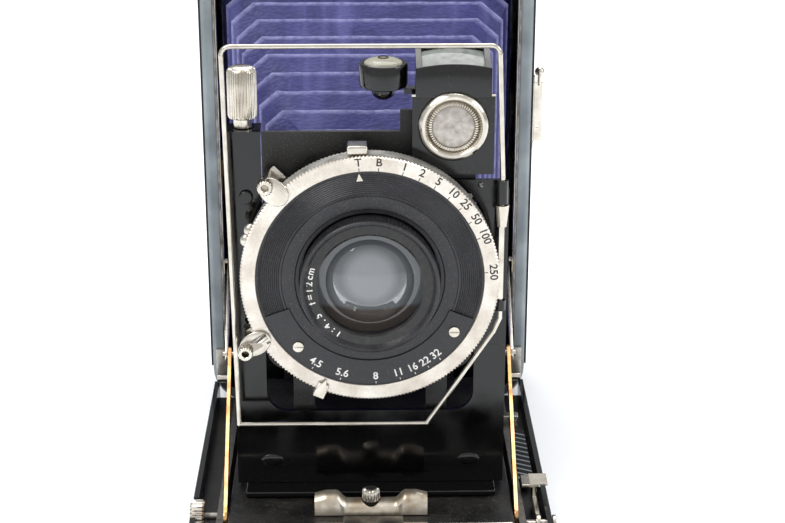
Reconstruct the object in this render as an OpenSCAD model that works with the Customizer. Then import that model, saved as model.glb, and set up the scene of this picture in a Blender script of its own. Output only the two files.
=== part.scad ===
// Folding-bed plate camera, open, with its lens standard drawn out.
// Millimetres. X to the right as the lens is faced, Y towards the back, Z up.
// The origin is the mouth of the tripod socket, in the middle of the body's underside.

/* [Body] */
// Width of the body across its side walls
body_w = 105; // [98:1:125]
// Height of the body
body_h = 152; // [146:1:182]
// Depth of the body from its front rim to its back
body_d = 30; // [27:0.5:36]
// Thickness of the side, top and bottom walls
body_wall = 2.5; // [2:0.1:3]
// Thickness of the front rim and of the back wall
rim_t = 2; // [1.5:0.1:2.4]
// Radius of the body's corners
body_corner_r = 12; // [8:0.5:14]
// Thickness of the leather around the walls
leather_t = 0.6; // [0.4:0.1:1]

/* [Bed] */
// Length of the drop bed in front of its hinge
bed_len = 146; // [140:1:176]
// Thickness of the bed's floor
bed_floor_t = 2; // [1.6:0.1:2.4]
// Height of the bed's side flanges
bed_flange_h = 8; // [7:0.1:9]
// Top of the focusing carriage above the underside of the bed
carriage_top = 11; // [10.8:0.1:12]
// Width of the focusing carriage
carriage_w = 81; // [79:0.5:82]
// Travel of the focusing carriage
focus_travel = 12; // [8:0.5:12]
// Number of teeth on the focusing pinion
pinion_teeth = 10; // [9:1:11]
// Module of the rack and pinion
gear_module = 0.5; // [0.45:0.01:0.55]

/* [Lens and shutter] */
// Height of the lens axis above the underside
lens_z = 81; // [78:0.5:88]
// Distance from the body's front rim to the front of the speed ring
extension = 96.5; // [88:0.5:104]
// Outer diameter of the speed ring
ring_d = 71; // [66:0.5:72]
// Width of the speed ring's face
ring_w = 4.3; // [3.6:0.1:5]
// Outer diameter of the lens barrel at its front rim
barrel_d = 38.2; // [34:0.1:39]
// Diameter of the front glass
glass_d = 30; // [26:0.2:31]
// Depth of the shutter from the lens board to the face plate
shutter_depth = 12.7; // [11.5:0.1:14]

/* [Lens standard] */
// Width of the standard across its uprights
standard_w = 77.2; // [75.5:0.2:78]
// Width of each upright's face
upright_w = 9; // [8.2:0.2:9.6]
// Thickness of the pressed sheet
sheet_t = 1.5; // [1.2:0.1:1.8]
// Height of the standard's lower crossbar above the underside
crossbar_top = 36; // [33:0.5:38]
// Top of the uprights above the underside
upright_top = 119.5; // [117:0.5:121]

/* [Finders] */
// Width of the wire finder's frame
wire_w = 74; // [72:0.5:75]
// Diameter of the finder wire
wire_d = 1.3; // [1.1:0.1:1.6]
// Width of the reflecting finder
finder_w = 22.2; // [20:0.2:23]
// Outer diameter of the reflecting finder's bezel
finder_bezel_d = 19.2; // [17:0.2:20]

/* [Fits] */
// Radial clearance of a shaft or pin in its hole
run_gap = 0.06; // [0.03:0.01:0.09]
// Gap between pieces that slide past each other
slide_gap = 0.3; // [0.2:0.05:0.35]

/* [Hidden] */
$fn = 64;

// faces of the body, front and back
front_y = -body_d / 2;
back_y = body_d / 2;
inner_w = body_w - 2 * body_wall;
// the front opening leaves a narrow rim all round
rim_w = 4;
opening_w = body_w - 2 * rim_w;
opening_low = 3.2;
opening_top = body_h - 5;
// plate opening in the back wall
plate_w = 92;
plate_h = 122;
mid_z = body_h / 2;

// planes of the lens standard
ring_y = front_y - extension;
ring_t = 1.3;
plate_y = ring_y + 0.4;
board_y = plate_y + shutter_depth;
standard_y = board_y;
bellows_y = standard_y + sheet_t + 0.9 + 1.6;
bellows_back_y = back_y - rim_t;
bellows_rear_len = focus_travel + 4;
bellows_split_y = bellows_back_y - bellows_rear_len;

bed_half_w = body_w / 2 - 0.5;
bed_back_y = front_y - 0.4;
bed_front_y = bed_back_y - bed_len;
carriage_t = 2;
carriage_back_y = front_y - 5;
carriage_front_y = board_y - 22;
rail_x = body_w / 2 - 8.3;
rail_t = 2;

// struts run from the inner side walls down to the front of the bed
strut_top = [body_w / 2 - 6.5, front_y + 3.4, 50];
strut_low = [carriage_w / 2 + 2.1, board_y - 14, 9.2];
strut_t = 1;
strut_wide = 5;

// focusing pinion
pinion_r = gear_module * pinion_teeth / 2;
shaft_z = 5.05;
shaft_y = carriage_front_y + focus_travel + 4.4;
shaft_r = 1.2;
tooth_pitch = PI * gear_module;
tooth_half = 0.56 * tooth_pitch / 3;
tooth_up = 0.7 * gear_module;
tooth_down = 1.1 * gear_module;
knob_x = -body_w / 2 + 4.3;
focus_knob_r = 5;

// rise screw and knob
screw_x = -standard_w / 2 + 4.1;
screw_y = standard_y + sheet_t + 3.4;
screw_r = 1.2;
board_w = standard_w - 2 * upright_w - 2 * slide_gap;
board_low = crossbar_top + 13;
board_top = upright_top;
nut_z = lens_z + 11;

// wire finder hinge
wire_axis_x = standard_w / 2 - 2.6;
wire_y = ring_y + 4.6;
wire_top = lens_z + 64.2;
wire_low = lens_z - 45;

// reflecting finder
finder_x = 22.7;
finder_z = lens_z + 41.3;
finder_front_y = standard_y - 4.9;
finder_back_y = standard_y + 7;
// the stud that it turns on, near its lower right corner
finder_pin_x = 26;
finder_pin_z = finder_z - 7.3;
finder_pin_r = 1.5;
level_x = finder_x - 18.8;
level_z = finder_z + 13.6;
level_y = standard_y;
level_r = 6.6;

function polar(r, a) = [r * sin(a), r * cos(a)];

// ---- shapes used more than once ----

// Rounded rectangle standing in the XZ plane, from y to y + depth
module upright_slab(w, z0, z1, y, depth, r) {
  translate([0, y + depth, 0])
    rotate([90, 0, 0])
      linear_extrude(depth)
        rounded_rect(w, z0, z1, r);
}

module rounded_rect(w, z0, z1, r) {
  translate([-w / 2 + r, z0]) square([w - 2 * r, z1 - z0]);
  translate([-w / 2, z0 + r]) square([w, z1 - z0 - 2 * r]);
  for (x = [-w / 2 + r, w / 2 - r], z = [z0 + r, z1 - r])
    translate([x, z]) circle(r);
}

// Cylinder along Y from y0 to y1 at height z
module along_y(r, y0, y1, x = 0, z = lens_z) {
  translate([x, y1, z]) rotate([90, 0, 0]) cylinder(r = r, h = y1 - y0);
}

// Ring along Y
module ring_y_axis(r_out, r_in, y0, y1, x = 0, z = lens_z) {
  difference() {
    along_y(r_out, y0, y1, x, z);
    along_y(r_in, y0 - 1, y1 + 1, x, z);
  }
}

module along_x(r, x0, x1, y, z) {
  translate([x0, y, z]) rotate([0, 90, 0]) cylinder(r = r, h = x1 - x0);
}

module both_sides() {
  children();
  mirror([1, 0, 0]) children();
}

// Flat bar with round ends in the plane of the two ends, from a share s0 to s1 of the way
module strut_bar(s0, s1, wide, thick) {
  way = strut_low - strut_top;
  flat = norm([way[0], way[1]]);
  len = norm(way);
  translate(strut_top)
    rotate([0, 0, atan2(way[1], way[0])])
      rotate([0, atan2(-way[2], flat), 0])
        translate([0, thick / 2, 0])
          rotate([90, 0, 0])
            linear_extrude(thick) {
              translate([len * s0, -wide / 2]) square([len * (s1 - s0), wide]);
              translate([len * s0, 0]) circle(wide / 2);
              translate([len * s1, 0]) circle(wide / 2);
            }
}

// Sector of a flat ring, angles clockwise from the top as the lens is faced
module sector(r_out, r_in, a0, a1, y0, y1) {
  steps = 12;
  translate([0, y1, lens_z])
    rotate([90, 0, 0])
      linear_extrude(y1 - y0)
        intersection() {
          difference() {
            circle(r_out);
            circle(r_in);
          }
          polygon(concat([[0, 0]], [for (i = [0:steps]) polar(r_out * 1.3, a0 + (a1 - a0) * i / steps)]));
        }
}

// ---- body ----

// tube of the four walls
// tube of four walls between the front rim and the back frame
module body_walls() {
  difference() {
    upright_slab(body_w, 0, body_h, front_y + rim_t, body_d - 2 * rim_t, body_corner_r);
    upright_slab(inner_w, body_wall, body_h - body_wall, front_y, body_d, body_corner_r - body_wall);
    translate([0, 0, -1]) cylinder(r = bush_r, h = body_wall + 2);
    along_x(bush_r, -body_w / 2 - 1, -inner_w / 2 + 1, 0, mid_z);
    translate([0, 0, body_h - body_wall - 1]) cylinder(r = button_r + run_gap, h = body_wall + 2);
  }
}

module between_corners() {
  translate([-body_w, -body_d, body_corner_r]) cube([2 * body_w, 2 * body_d, body_h - 2 * body_corner_r]);
}

module body_side_walls() {
  color([0.05, 0.05, 0.06]) intersection() { body_walls(); between_corners(); }
}

module body_end_walls() {
  color([0.05, 0.05, 0.06]) difference() { body_walls(); between_corners(); }
}

module body_front_rim() {
  color([0.05, 0.05, 0.06])
    difference() {
      upright_slab(body_w, 0, body_h, front_y, rim_t, body_corner_r);
      upright_slab(opening_w, opening_low, opening_top, front_y - 1, rim_t + 2, body_corner_r - rim_w);
    }
}

module body_back_frame() {
  color([0.05, 0.05, 0.06])
    difference() {
      upright_slab(body_w, 0, body_h, back_y - rim_t, rim_t, body_corner_r);
      upright_slab(plate_w, mid_z - plate_h / 2, mid_z + plate_h / 2, back_y - rim_t - 1, rim_t + 2, 2);
    }
}

module leather_covering() {
  color([0.07, 0.07, 0.08])
    difference() {
      upright_slab(body_w + 2 * leather_t, 0, body_h + leather_t, front_y + 1.5, body_d - 3, body_corner_r + leather_t);
      upright_slab(body_w, -2, body_h, front_y, body_d, body_corner_r);
      translate([-body_w, -body_d, -2]) cube([2 * body_w, 2 * body_d, body_corner_r + 3]);
      along_x(bush_flange_r + 0.3, -body_w / 2 - 2, -body_w / 2 + 2, 0, mid_z);
      translate([0, 0, body_h - 1]) cylinder(r = button_r + 1, h = 3);
      translate([body_w / 2 - 1, peep_y - 2.7, peep_low - 2.9]) cube([3, 5.4, peep_len + 5.8]);
    }
}

module front_bezel() {
  color([0.8, 0.78, 0.74])
    difference() {
      upright_slab(opening_w, opening_low + 18, opening_top, front_y - 0.5, 0.5 + rim_t, body_corner_r - rim_w);
      upright_slab(opening_w - 1.4, opening_low - 2, opening_top - 0.7, front_y - 1, rim_t + 2, body_corner_r - rim_w - 0.7);
      translate([-body_w / 2, front_y - 2, 0]) cube([body_w, 6, opening_low + 22]);
    }
}

// short rails in the body that take the standard when it is pushed home
module body_track() {
  y0 = carriage_back_y + focus_travel + 0.5;
  both_sides()
    translate([track_x, y0, body_wall])
      cube([track_w, back_y - rim_t - y0, carriage_top - body_wall]);
}

// outside of the bushes, and their bore for a 3/8 inch tripod thread
bush_r = 6.3;
bush_flange_r = 9;
bush_depth = 8;
side_bush_depth = 5;
socket_r = 3.97;

// tripod sockets in the underside and in the left side
module tripod_bushes() {
  color([0.75, 0.65, 0.4]) {
    difference() {
      union() {
        cylinder(r = bush_r, h = body_wall);
        translate([0, 0, body_wall]) cylinder(r = bush_flange_r, h = bush_depth - body_wall);
      }
      translate([0, 0, -1]) cylinder(r = socket_r, h = bush_depth - 0.5);
    }
    difference() {
      union() {
        along_x(bush_r, -body_w / 2, -inner_w / 2, 0, mid_z);
        along_x(bush_flange_r, -inner_w / 2, -body_w / 2 + side_bush_depth, 0, mid_z);
      }
      along_x(socket_r, -body_w / 2 - 1, -body_w / 2 + side_bush_depth - 1, 0, mid_z);
    }
  }
}

button_r = 3.2;
button_travel = 1.5;

module bed_release_button() {
  color([0.1, 0.1, 0.1]) {
    translate([0, 0, body_h - body_wall - 1]) cylinder(r = button_r, h = body_wall + 3);
    translate([0, 0, body_h - body_wall - 2.2]) cylinder(r = button_r + 1.2, h = 1.2);
  }
}

peep_y = 5;
peep_low = 86;
peep_len = 20;
peep_x = body_w / 2 + 1.9;
peep_pin_r = 0.5;
peep_knuckle_r = 1;

// strip on the right side wall with two knuckles and the hinge pin of the sighting leaf
module peep_sight_bracket() {
  color([0.8, 0.78, 0.74]) {
    translate([body_w / 2, peep_y - 2.5, peep_low - 2.6]) cube([0.6, 5, peep_len + 5.2]);
    for (z = [peep_low - 2.4, peep_low + peep_len + 0.2])
      translate([0, 0, z]) {
        translate([peep_x, peep_y, 0]) cylinder(r = peep_knuckle_r, h = 2.2);
        translate([body_w / 2 + 0.3, peep_y - 0.7, 0]) cube([1.6, 1.4, 2.2]);
      }
    translate([peep_x, peep_y, peep_low - 1]) cylinder(r = peep_pin_r, h = peep_len + 2);
  }
}

// narrow sighting leaf with a peep hole near its foot and a ball to lift it by
module peep_sight() {
  hole_x = peep_x + 1.9;
  ball_z = peep_low + peep_len + 3.6;
  color([0.8, 0.78, 0.74])
    difference() {
      union() {
        translate([peep_x, peep_y, peep_low]) cylinder(r = peep_knuckle_r, h = peep_len);
        translate([peep_x, peep_y - 0.4, peep_low]) cube([3.6, 0.8, peep_len]);
        translate([hole_x + 0.5, peep_y, peep_low + peep_len - 1]) cylinder(r = 0.7, h = 4);
        translate([hole_x + 0.5, peep_y, ball_z]) sphere(1.6);
      }
      translate([peep_x, peep_y, peep_low - 1]) cylinder(r = peep_pin_r + run_gap, h = peep_len + 2);
      along_y(0.5, peep_y - 2, peep_y + 2, hole_x, peep_low + 5);
    }
}

// ---- back ----

back_w = 101;
back_low = 8;
back_high = body_h - 8;
back_t = 4.5;
glass_t = 1.5;
groove_t = 1;

module back_rails() {
  color([0.75, 0.74, 0.7])
    both_sides()
      difference() {
        translate([back_w / 2 - 2.4, back_y, back_low]) cube([3.4, 3, back_high - back_low]);
        translate([back_w / 2 - 4, back_y - 1, back_low - 1]) cube([3, 2 + groove_t + slide_gap, body_h]);
      }
}

module ground_glass_frame() {
  color([0.06, 0.06, 0.07])
    difference() {
      union() {
        translate([-back_w / 2 + 1.2, back_y + 0.05, back_low + 1]) cube([back_w - 2.4, groove_t, back_high - back_low - 1]);
        translate([-back_w / 2 + 2.9, back_y + 0.05, back_low + 1]) cube([back_w - 5.8, back_t, back_high - back_low - 1]);
      }
      translate([-42, back_y - 1, mid_z - 57]) cube([84, back_t + 2, 114]);
      translate([-45, back_y - 1, mid_z - 60]) cube([90, 1.3 + glass_t, 120]);
      hood_hinge_cut();
    }
}

hood_y = back_y + back_t + 1;
hood_z = mid_z + 61.5;

module hood_hinge_cut() {
  along_x(1.5, -20, 20, hood_y, hood_z);
}

module ground_glass() {
  color([0.85, 0.9, 0.88, 0.5])
    translate([-45, back_y + 0.3, mid_z - 60]) cube([90, glass_t - 0.02, 120]);
}

// leather-covered lid over the ground glass, hinged along its top edge
module hood_cover() {
  color([0.06, 0.06, 0.07]) {
    difference() {
      translate([-44, back_y + back_t + 0.35, mid_z - 59]) cube([88, 1.6, 118.8]);
      translate([-45, back_y + back_t, hood_z - 2.6]) cube([90, 3, 4]);
    }
    along_x(1.15, -19, 19, hood_y, hood_z);
    translate([-19, back_y + back_t + 0.35, hood_z - 3]) cube([38, 1.2, 3]);
    translate([-4, back_y + back_t + 1.9, mid_z - 57]) cube([8, 0.8, 5]);
  }
}

// ---- bed ----

module bed_plate() {
  color([0.06, 0.06, 0.07])
    difference() {
      translate([-bed_half_w, bed_front_y, 0]) cube([2 * bed_half_w, bed_len, bed_flange_h]);
      translate([-bed_half_w + 1.6, bed_front_y + 1.6, bed_floor_t]) cube([2 * bed_half_w - 3.2, bed_len, bed_flange_h]);
      // notch that the focusing knob turns in
      translate([-body_w, shaft_y - focus_knob_r - 1, -1])
        cube([body_w + knob_x + 0.8, 2 * focus_knob_r + 2, bed_flange_h + 2]);
      along_x(lock_pin_r + run_gap, rail_x, body_w, lock_y, lock_z);
    }
}

track_x = 24;
track_w = 5;

module bed_rails() {
  color([0.6, 0.6, 0.58]) {
    difference() {
      both_sides()
        translate([rail_x - rail_t, bed_front_y + 12, bed_floor_t]) cube([rail_t, bed_len - 13, 7]);
      along_x(shaft_r + run_gap, -body_w, 0, shaft_y, shaft_z);
    }
    // low tracks that the carriage slides on
    difference() {
      both_sides()
        translate([track_x, bed_front_y + 12, bed_floor_t])
          cube([track_w, bed_len - 13, carriage_top - carriage_t - slide_gap - bed_floor_t]);
      along_x(shaft_r + run_gap, -body_w, 0, shaft_y, shaft_z);
    }
    body_track();
  }
}

module bed_hinge() {
  color([0.8, 0.78, 0.74])
    both_sides() {
      translate([body_w / 2 - 5.2, front_y - 2, bed_flange_h + 0.2]) cube([3.8, 2, 12]);
      along_x(1.4, body_w / 2 - 5.2, body_w / 2 - 1.4, front_y - 1.4, bed_flange_h + 1.6);
    }
}

link_share = 0.4;

module strut_upper_links() {
  color([0.8, 0.78, 0.74])
    both_sides()
      difference() {
        strut_bar(0, link_share, strut_wide - 0.6, strut_t);
        strut_rivet_hole();
      }
}

module strut_lower_arms() {
  color([0.8, 0.6, 0.4])
    both_sides()
      difference() {
        lower_arm_place() strut_bar(link_share, 1, strut_wide, strut_t);
        strut_rivet_hole();
      }
}

// the lower arm lies on the inner face of the upper link
module lower_arm_place() {
  translate([-strut_t - 0.05, 0, 0]) children();
}

module strut_rivet_hole() {
  at = strut_top + (strut_low - strut_top) * link_share;
  along_x(1, at[0] - 4, at[0] + 4, at[1], at[2]);
}

// guide strips on the side walls, the struts' pins and their foot brackets
module strut_fittings() {
  at = strut_top + (strut_low - strut_top) * link_share;
  color([0.85, 0.83, 0.8])
    both_sides() {
      translate([body_w / 2 - body_wall - 2, front_y + rim_t + 0.2, 20]) cube([2, 2.4, 64]);
      // top pin reaches from the link to the guide
      along_x(1.1, strut_top[0] + 0.6, body_w / 2 - body_wall - 2, strut_top[1], strut_top[2]);
      // middle rivet
      along_x(1, at[0] - 2.6, at[0] + 1.2, at[1], at[2]);
      // foot bracket screwed to the rail
      translate([strut_low[0] - 1.2, strut_low[1] - 2, bed_floor_t])
        cube([rail_x - rail_t - strut_low[0] + 1.2, 4, strut_low[2] - strut_wide / 2 - bed_floor_t - 0.05]);
    }
}

module distance_scale() {
  color([0.15, 0.15, 0.16])
    translate([rail_x, board_y + 14, bed_flange_h - 2]) cube([5, 32, 0.6]);
}

lock_y = board_y - 11.6;
lock_z = 5.2;
lock_pin_r = 1.1;
lock_x = body_w / 2 - 5;

// finger tab on an arm that clamps the carriage
module focus_lock_lever() {
  color([0.8, 0.78, 0.74]) {
    along_x(lock_pin_r, rail_x + 0.5, body_w / 2 + 0.8, lock_y, lock_z);
    along_x(2.6, lock_x, lock_x + 1.4, lock_y, lock_z);
    translate([lock_x, lock_y, lock_z - 2]) cube([1.4, 16, 4]);
    translate([lock_x, lock_y + 12, lock_z + 1.9]) cube([1.4, 4, 4]);
    translate([lock_x - 3.2, lock_y + 11, lock_z + 5.6]) cube([5.4, 6.5, 1]);
    along_x(2.4, body_w / 2 - 0.2, body_w / 2 + 0.9, lock_y, lock_z);
  }
}

// ---- focusing carriage ----

module focus_carriage() {
  color([0.07, 0.07, 0.08]) {
    translate([-carriage_w / 2, carriage_front_y, carriage_top - carriage_t])
      cube([carriage_w, carriage_back_y - carriage_front_y, carriage_t]);
    // runners beside the tracks
    both_sides()
      translate([track_x + track_w + slide_gap, carriage_front_y + 2, shaft_z + shaft_r + 0.4])
        cube([3, carriage_back_y - carriage_front_y - 4, carriage_top - carriage_t - shaft_z - shaft_r - 0.4]);
  }
}

rack_x = -20;
rack_w = 4;
rack_teeth = 14;
rack_start = -10;

module focus_rack() {
  pitch_z = shaft_z + pinion_r;
  color([0.75, 0.65, 0.4])
    translate([rack_x - rack_w / 2, shaft_y, pitch_z])
      rotate([90, 0, 90])
        linear_extrude(rack_w) {
          translate([rack_start * tooth_pitch, tooth_down])
            square([rack_teeth * tooth_pitch, carriage_top - carriage_t - pitch_z - tooth_down]);
          for (i = [rack_start:rack_start + rack_teeth - 1])
            translate([(i + 0.5) * tooth_pitch, 0])
              polygon([
                [-tooth_half - tooth_down * 0.36, tooth_down + 0.01],
                [tooth_half + tooth_down * 0.36, tooth_down + 0.01],
                [tooth_half - tooth_up * 0.36, -tooth_up],
                [-tooth_half + tooth_up * 0.36, -tooth_up]
              ]);
        }
}

module distance_pointer() {
  color([0.8, 0.78, 0.74]) {
    translate([carriage_w / 2 - 4, board_y + 46, carriage_top]) cube([rail_x + 3 - carriage_w / 2 + 4, 3, 0.8]);
    translate([rail_x + 1.2, board_y + 47, bed_flange_h]) cube([1.8, 1.2, carriage_top - bed_flange_h]);
  }
}

module focus_knob() {
  color([0.8, 0.78, 0.74])
    difference() {
      union() {
        along_x(focus_knob_r - 0.5, knob_x - 4.2, knob_x, shaft_y, shaft_z);
        for (a = [0:20:359])
          translate([0, shaft_y, shaft_z])
            rotate([a, 0, 0])
              along_x(0.55, knob_x - 4, knob_x - 0.2, 0, focus_knob_r - 0.6);
      }
      along_x(shaft_r, knob_x - 3.6, knob_x + 1, shaft_y, shaft_z);
    }
}

module pinion_shaft() {
  color([0.8, 0.78, 0.74]) {
    along_x(shaft_r, knob_x - 3.6, rack_x + 4, shaft_y, shaft_z);
    translate([rack_x - 2.6, shaft_y, shaft_z])
      rotate([90, 0, 90])
        linear_extrude(5.2) {
          circle(pinion_r - tooth_down);
          for (i = [0:pinion_teeth - 1])
            rotate(i * 360 / pinion_teeth)
              polygon([
                [-tooth_half - tooth_down * 0.36, pinion_r - tooth_down - 0.2],
                [tooth_half + tooth_down * 0.36, pinion_r - tooth_down - 0.2],
                [tooth_half - tooth_up * 0.5, pinion_r + tooth_up],
                [-tooth_half + tooth_up * 0.5, pinion_r + tooth_up]
              ]);
        }
  }
}

// ---- bellows, as closed tapering boxes ----

bellows_rear_w = body_w - 12;
bellows_rear_low = carriage_top + 0.6;
bellows_rear_top = body_h - 7;
bellows_front_w = 50;
bellows_front_h = 62;
bellows_front_low = lens_z - 30;

module bellows_rear() {
  color([0.4, 0.4, 0.65])
    difference() {
      upright_slab(bellows_rear_w, bellows_rear_low, bellows_rear_top, bellows_split_y, bellows_rear_len, 3);
      upright_slab(bellows_rear_w - 6, bellows_rear_low + 3, bellows_rear_top - 3, bellows_split_y - 1, bellows_rear_len + 2, 2);
    }
}

module bellows_end(w, z0, z1, y) {
  translate([-w / 2, y - 0.05, z0]) cube([w, 0.05, z1 - z0]);
}

module bellows_front() {
  color([0.42, 0.42, 0.68])
    difference() {
      hull() {
        bellows_end(bellows_rear_w, bellows_rear_low, bellows_rear_top, bellows_split_y);
        bellows_end(bellows_front_w, bellows_front_low, bellows_front_low + bellows_front_h, bellows_y + 0.05);
      }
      hull() {
        bellows_end(bellows_rear_w - 6, bellows_rear_low + 3, bellows_rear_top - 3, bellows_split_y + 0.1);
        bellows_end(bellows_front_w - 6, bellows_front_low + 3, bellows_front_low + bellows_front_h - 3, bellows_y - 0.1);
      }
    }
}

// ---- lens standard ----

base_front_y = board_y - 6;
base_len = 22;

module standard_base() {
  color([0.05, 0.05, 0.06]) {
    translate([-standard_w / 2 + 2.5, base_front_y, carriage_top + slide_gap]) cube([standard_w - 5, base_len, 1.6]);
    translate([-standard_w / 2 + 2.5, standard_y + sheet_t, carriage_top + slide_gap + 1.6]) cube([standard_w - 5, 1.6, 12]);
  }
}

module standard_frame() {
  color([0.05, 0.05, 0.06])
    difference() {
      union() {
        // lower crossbar
        translate([-standard_w / 2, standard_y, carriage_top + slide_gap + 1.7])
          cube([standard_w, sheet_t, crossbar_top - carriage_top - slide_gap - 1.7]);
        // left upright
        translate([-standard_w / 2, standard_y, crossbar_top - 1]) cube([upright_w, sheet_t, upright_top - crossbar_top + 1]);
        translate([-standard_w / 2, standard_y, carriage_top + slide_gap + 1.7]) cube([sheet_t, 9, upright_top - carriage_top - slide_gap - 1.7]);
        // right upright
        translate([standard_w / 2 - upright_w, standard_y, crossbar_top - 1]) cube([upright_w, sheet_t, 68]);
        translate([standard_w / 2 - sheet_t, standard_y, carriage_top + slide_gap + 1.7]) cube([sheet_t, 9, 88]);
        // cap of the left upright, which carries the rise screw
        translate([-standard_w / 2, standard_y, upright_top - sheet_t]) cube([upright_w, 9, sheet_t]);
        // rounded corners of the window
        both_sides() window_corner();
      }
      translate([screw_x, screw_y, upright_top - 3]) cylinder(r = screw_r + run_gap, h = 5);
    }
}

module window_corner() {
  r = 6;
  difference() {
    translate([standard_w / 2 - upright_w - r, standard_y, crossbar_top - 0.5]) cube([r + 0.5, sheet_t, r]);
    along_y(r, standard_y - 1, standard_y + sheet_t + 1, standard_w / 2 - upright_w - r, crossbar_top + r);
  }
}

module bellows_front_frame() {
  y0 = standard_y + sheet_t + 0.9;
  color([0.05, 0.05, 0.06])
    difference() {
      union() {
        upright_slab(bellows_front_w + 2, bellows_front_low - 1, bellows_front_low + bellows_front_h + 1, y0, 1.5, 1);
        // feet down to the crossbar and the base
        both_sides() translate([16, y0, carriage_top + slide_gap + 13.7]) cube([6, 1.5, bellows_front_low - carriage_top - 14]);
        both_sides() translate([16, standard_y + sheet_t, crossbar_top - 6]) cube([6, 0.9, 5]);
      }
      upright_slab(bellows_front_w - 6, bellows_front_low + 1.8, bellows_front_low + bellows_front_h - 3, y0 - 1, 4, 1);
    }
}

handle_y = board_y - 14.2;

// pull handle: a bar with raised wings either side of the lock button
module pull_handle() {
  color([0.85, 0.83, 0.8])
    difference() {
      union() {
        translate([-16, handle_y - 3, carriage_top + slide_gap]) cube([32, 6, 6.2]);
        translate([-5, handle_y, carriage_top + slide_gap]) cube([10, base_front_y - handle_y, 1.4]);
      }
      handle_dish();
      translate([0, handle_y, carriage_top]) cylinder(r = 2.6 + run_gap, h = 9);
    }
}

module handle_dish() {
  translate([0, handle_y + 8, carriage_top + slide_gap + 13.8]) rotate([90, 0, 0]) cylinder(r = 9.4, h = 16);
}

module lock_button() {
  color([0.85, 0.83, 0.8]) {
    translate([0, handle_y, carriage_top + slide_gap + 1.1]) cylinder(r = 2.6, h = 5.2);
    translate([0, handle_y, carriage_top + slide_gap + 6.3]) cylinder(r = 2.6, h = 0.5);
  }
}

knob_r = 4.1;
knob_low = upright_top + 2.4;
knob_h = 15;

module rise_knob() {
  color([0.7, 0.68, 0.64])
    difference() {
      union() {
        translate([screw_x, screw_y, knob_low]) cylinder(r = knob_r - 0.5, h = knob_h);
        for (a = [0:20:359])
          translate([screw_x + (knob_r - 0.6) * cos(a), screw_y + (knob_r - 0.6) * sin(a), knob_low + 0.4])
            cylinder(r = 0.55, h = knob_h - 1);
        translate([screw_x, screw_y, upright_top + 0.3]) cylinder(r = 2.6, h = 2.4);
      }
      translate([screw_x, screw_y, upright_top]) cylinder(r = screw_r, h = 8);
    }
}

module rise_screw() {
  color([0.75, 0.72, 0.66])
    translate([screw_x, screw_y, crossbar_top + 8]) cylinder(r = screw_r, h = upright_top + 8 - crossbar_top - 8);
}

// ---- lens board and what it carries ----

module lens_board() {
  color([0.08, 0.08, 0.09])
    difference() {
      union() {
        translate([-board_w / 2, board_y, board_low]) cube([board_w, sheet_t, board_top - board_low]);
        // ear that rises behind the reflecting finder
        translate([8.5, board_y, board_top - 8]) cube([board_w / 2 - 8.5, sheet_t, 14]);
        // nut of the rise screw
        translate([screw_x - 2.2, screw_y - 2.6, nut_z]) cube([2.6 - board_w / 2 - screw_x + 2.2, 5.2, 5]);
        translate([-board_w / 2, board_y + sheet_t - 0.5, nut_z])
          cube([2.6, screw_y + 2.6 - board_y - sheet_t + 0.5, 5]);
      }
      along_y(16.4, board_y - 1, board_y + sheet_t + 1);
      translate([screw_x, screw_y, nut_z - 2]) cylinder(r = screw_r + run_gap, h = 9);
      along_y(finder_pin_r + run_gap, board_y - 1, board_y + sheet_t + 1, finder_pin_x, finder_pin_z);
      both_sides() board_corner();
    }
}

// what is cut from the board's lower corners, which pass the window's rounded ones
module board_corner() {
  r = 6.3;
  difference() {
    translate([board_w / 2 - r, board_y - 1, board_low - 1]) cube([r + 1, sheet_t + 2, r + 1]);
    along_y(r, board_y - 2, board_y + sheet_t + 2, board_w / 2 - r, board_low + r);
  }
}

module rise_lock_stud() {
  color([0.06, 0.06, 0.07])
    along_y(1.9, standard_y - 1.2, standard_y, -board_w / 2 - 4.6, lens_z + 20);
}

case_r = ring_d / 2 - 5.5;

module shutter_case() {
  color([0.06, 0.06, 0.07])
    difference() {
      along_y(case_r, ring_y + ring_t + 0.3, board_y);
      along_y(25, ring_y + ring_t + 1.6, board_y - 2);
      along_y(16.4, ring_y - 1, board_y + 1);
      along_y(19.3, ring_y - 1, board_y - 6);
    }
}

module knurled_rim() {
  color([0.5, 0.5, 0.5])
    ring_y_axis(ring_d / 2 - 0.5, case_r + 0.02, ring_y + ring_t + 0.3, ring_y + 8);
}

module speed_ring() {
  color([0.91, 0.89, 0.86])
    difference() {
      along_y(ring_d / 2, ring_y, ring_y + ring_t);
      along_y(ring_d / 2 - ring_w, ring_y - 1, ring_y + ring_t + 1);
    }
}

module face_plate() {
  color([0.1, 0.1, 0.11])
    ring_y_axis(ring_d / 2 - ring_w - 0.1, barrel_d / 2 + 0.3, plate_y, ring_y + ring_t + 0.25);
}

scale_r_out = ring_d / 2 - ring_w - 0.6;
scale_r_in = barrel_d / 2 + 1;

module aperture_scale_plate() {
  color([0.08, 0.08, 0.09])
    difference() {
      sector(scale_r_out, scale_r_in + 3.4, 112, 250, plate_y - 0.5, plate_y);
      for (a = scale_screw_angles)
        along_y(0.9, plate_y - 1, plate_y + 1, polar(scale_screw_r, a)[0], lens_z + polar(scale_screw_r, a)[1]);
    }
}

scale_screw_r = 27.6;
scale_screw_angles = [123, 226];

module scale_screws() {
  color([0.85, 0.83, 0.8])
    for (a = scale_screw_angles) {
      p = polar(scale_screw_r, a);
      difference() {
        union() {
          along_y(1.5, plate_y - 1.1, plate_y - 0.5, p[0], lens_z + p[1]);
          along_y(0.9, plate_y - 0.6, plate_y, p[0], lens_z + p[1]);
        }
        translate([p[0] - 2, plate_y - 2, lens_z + p[1] - 0.2]) cube([4, 1.2, 0.4]);
      }
    }
}

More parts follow.
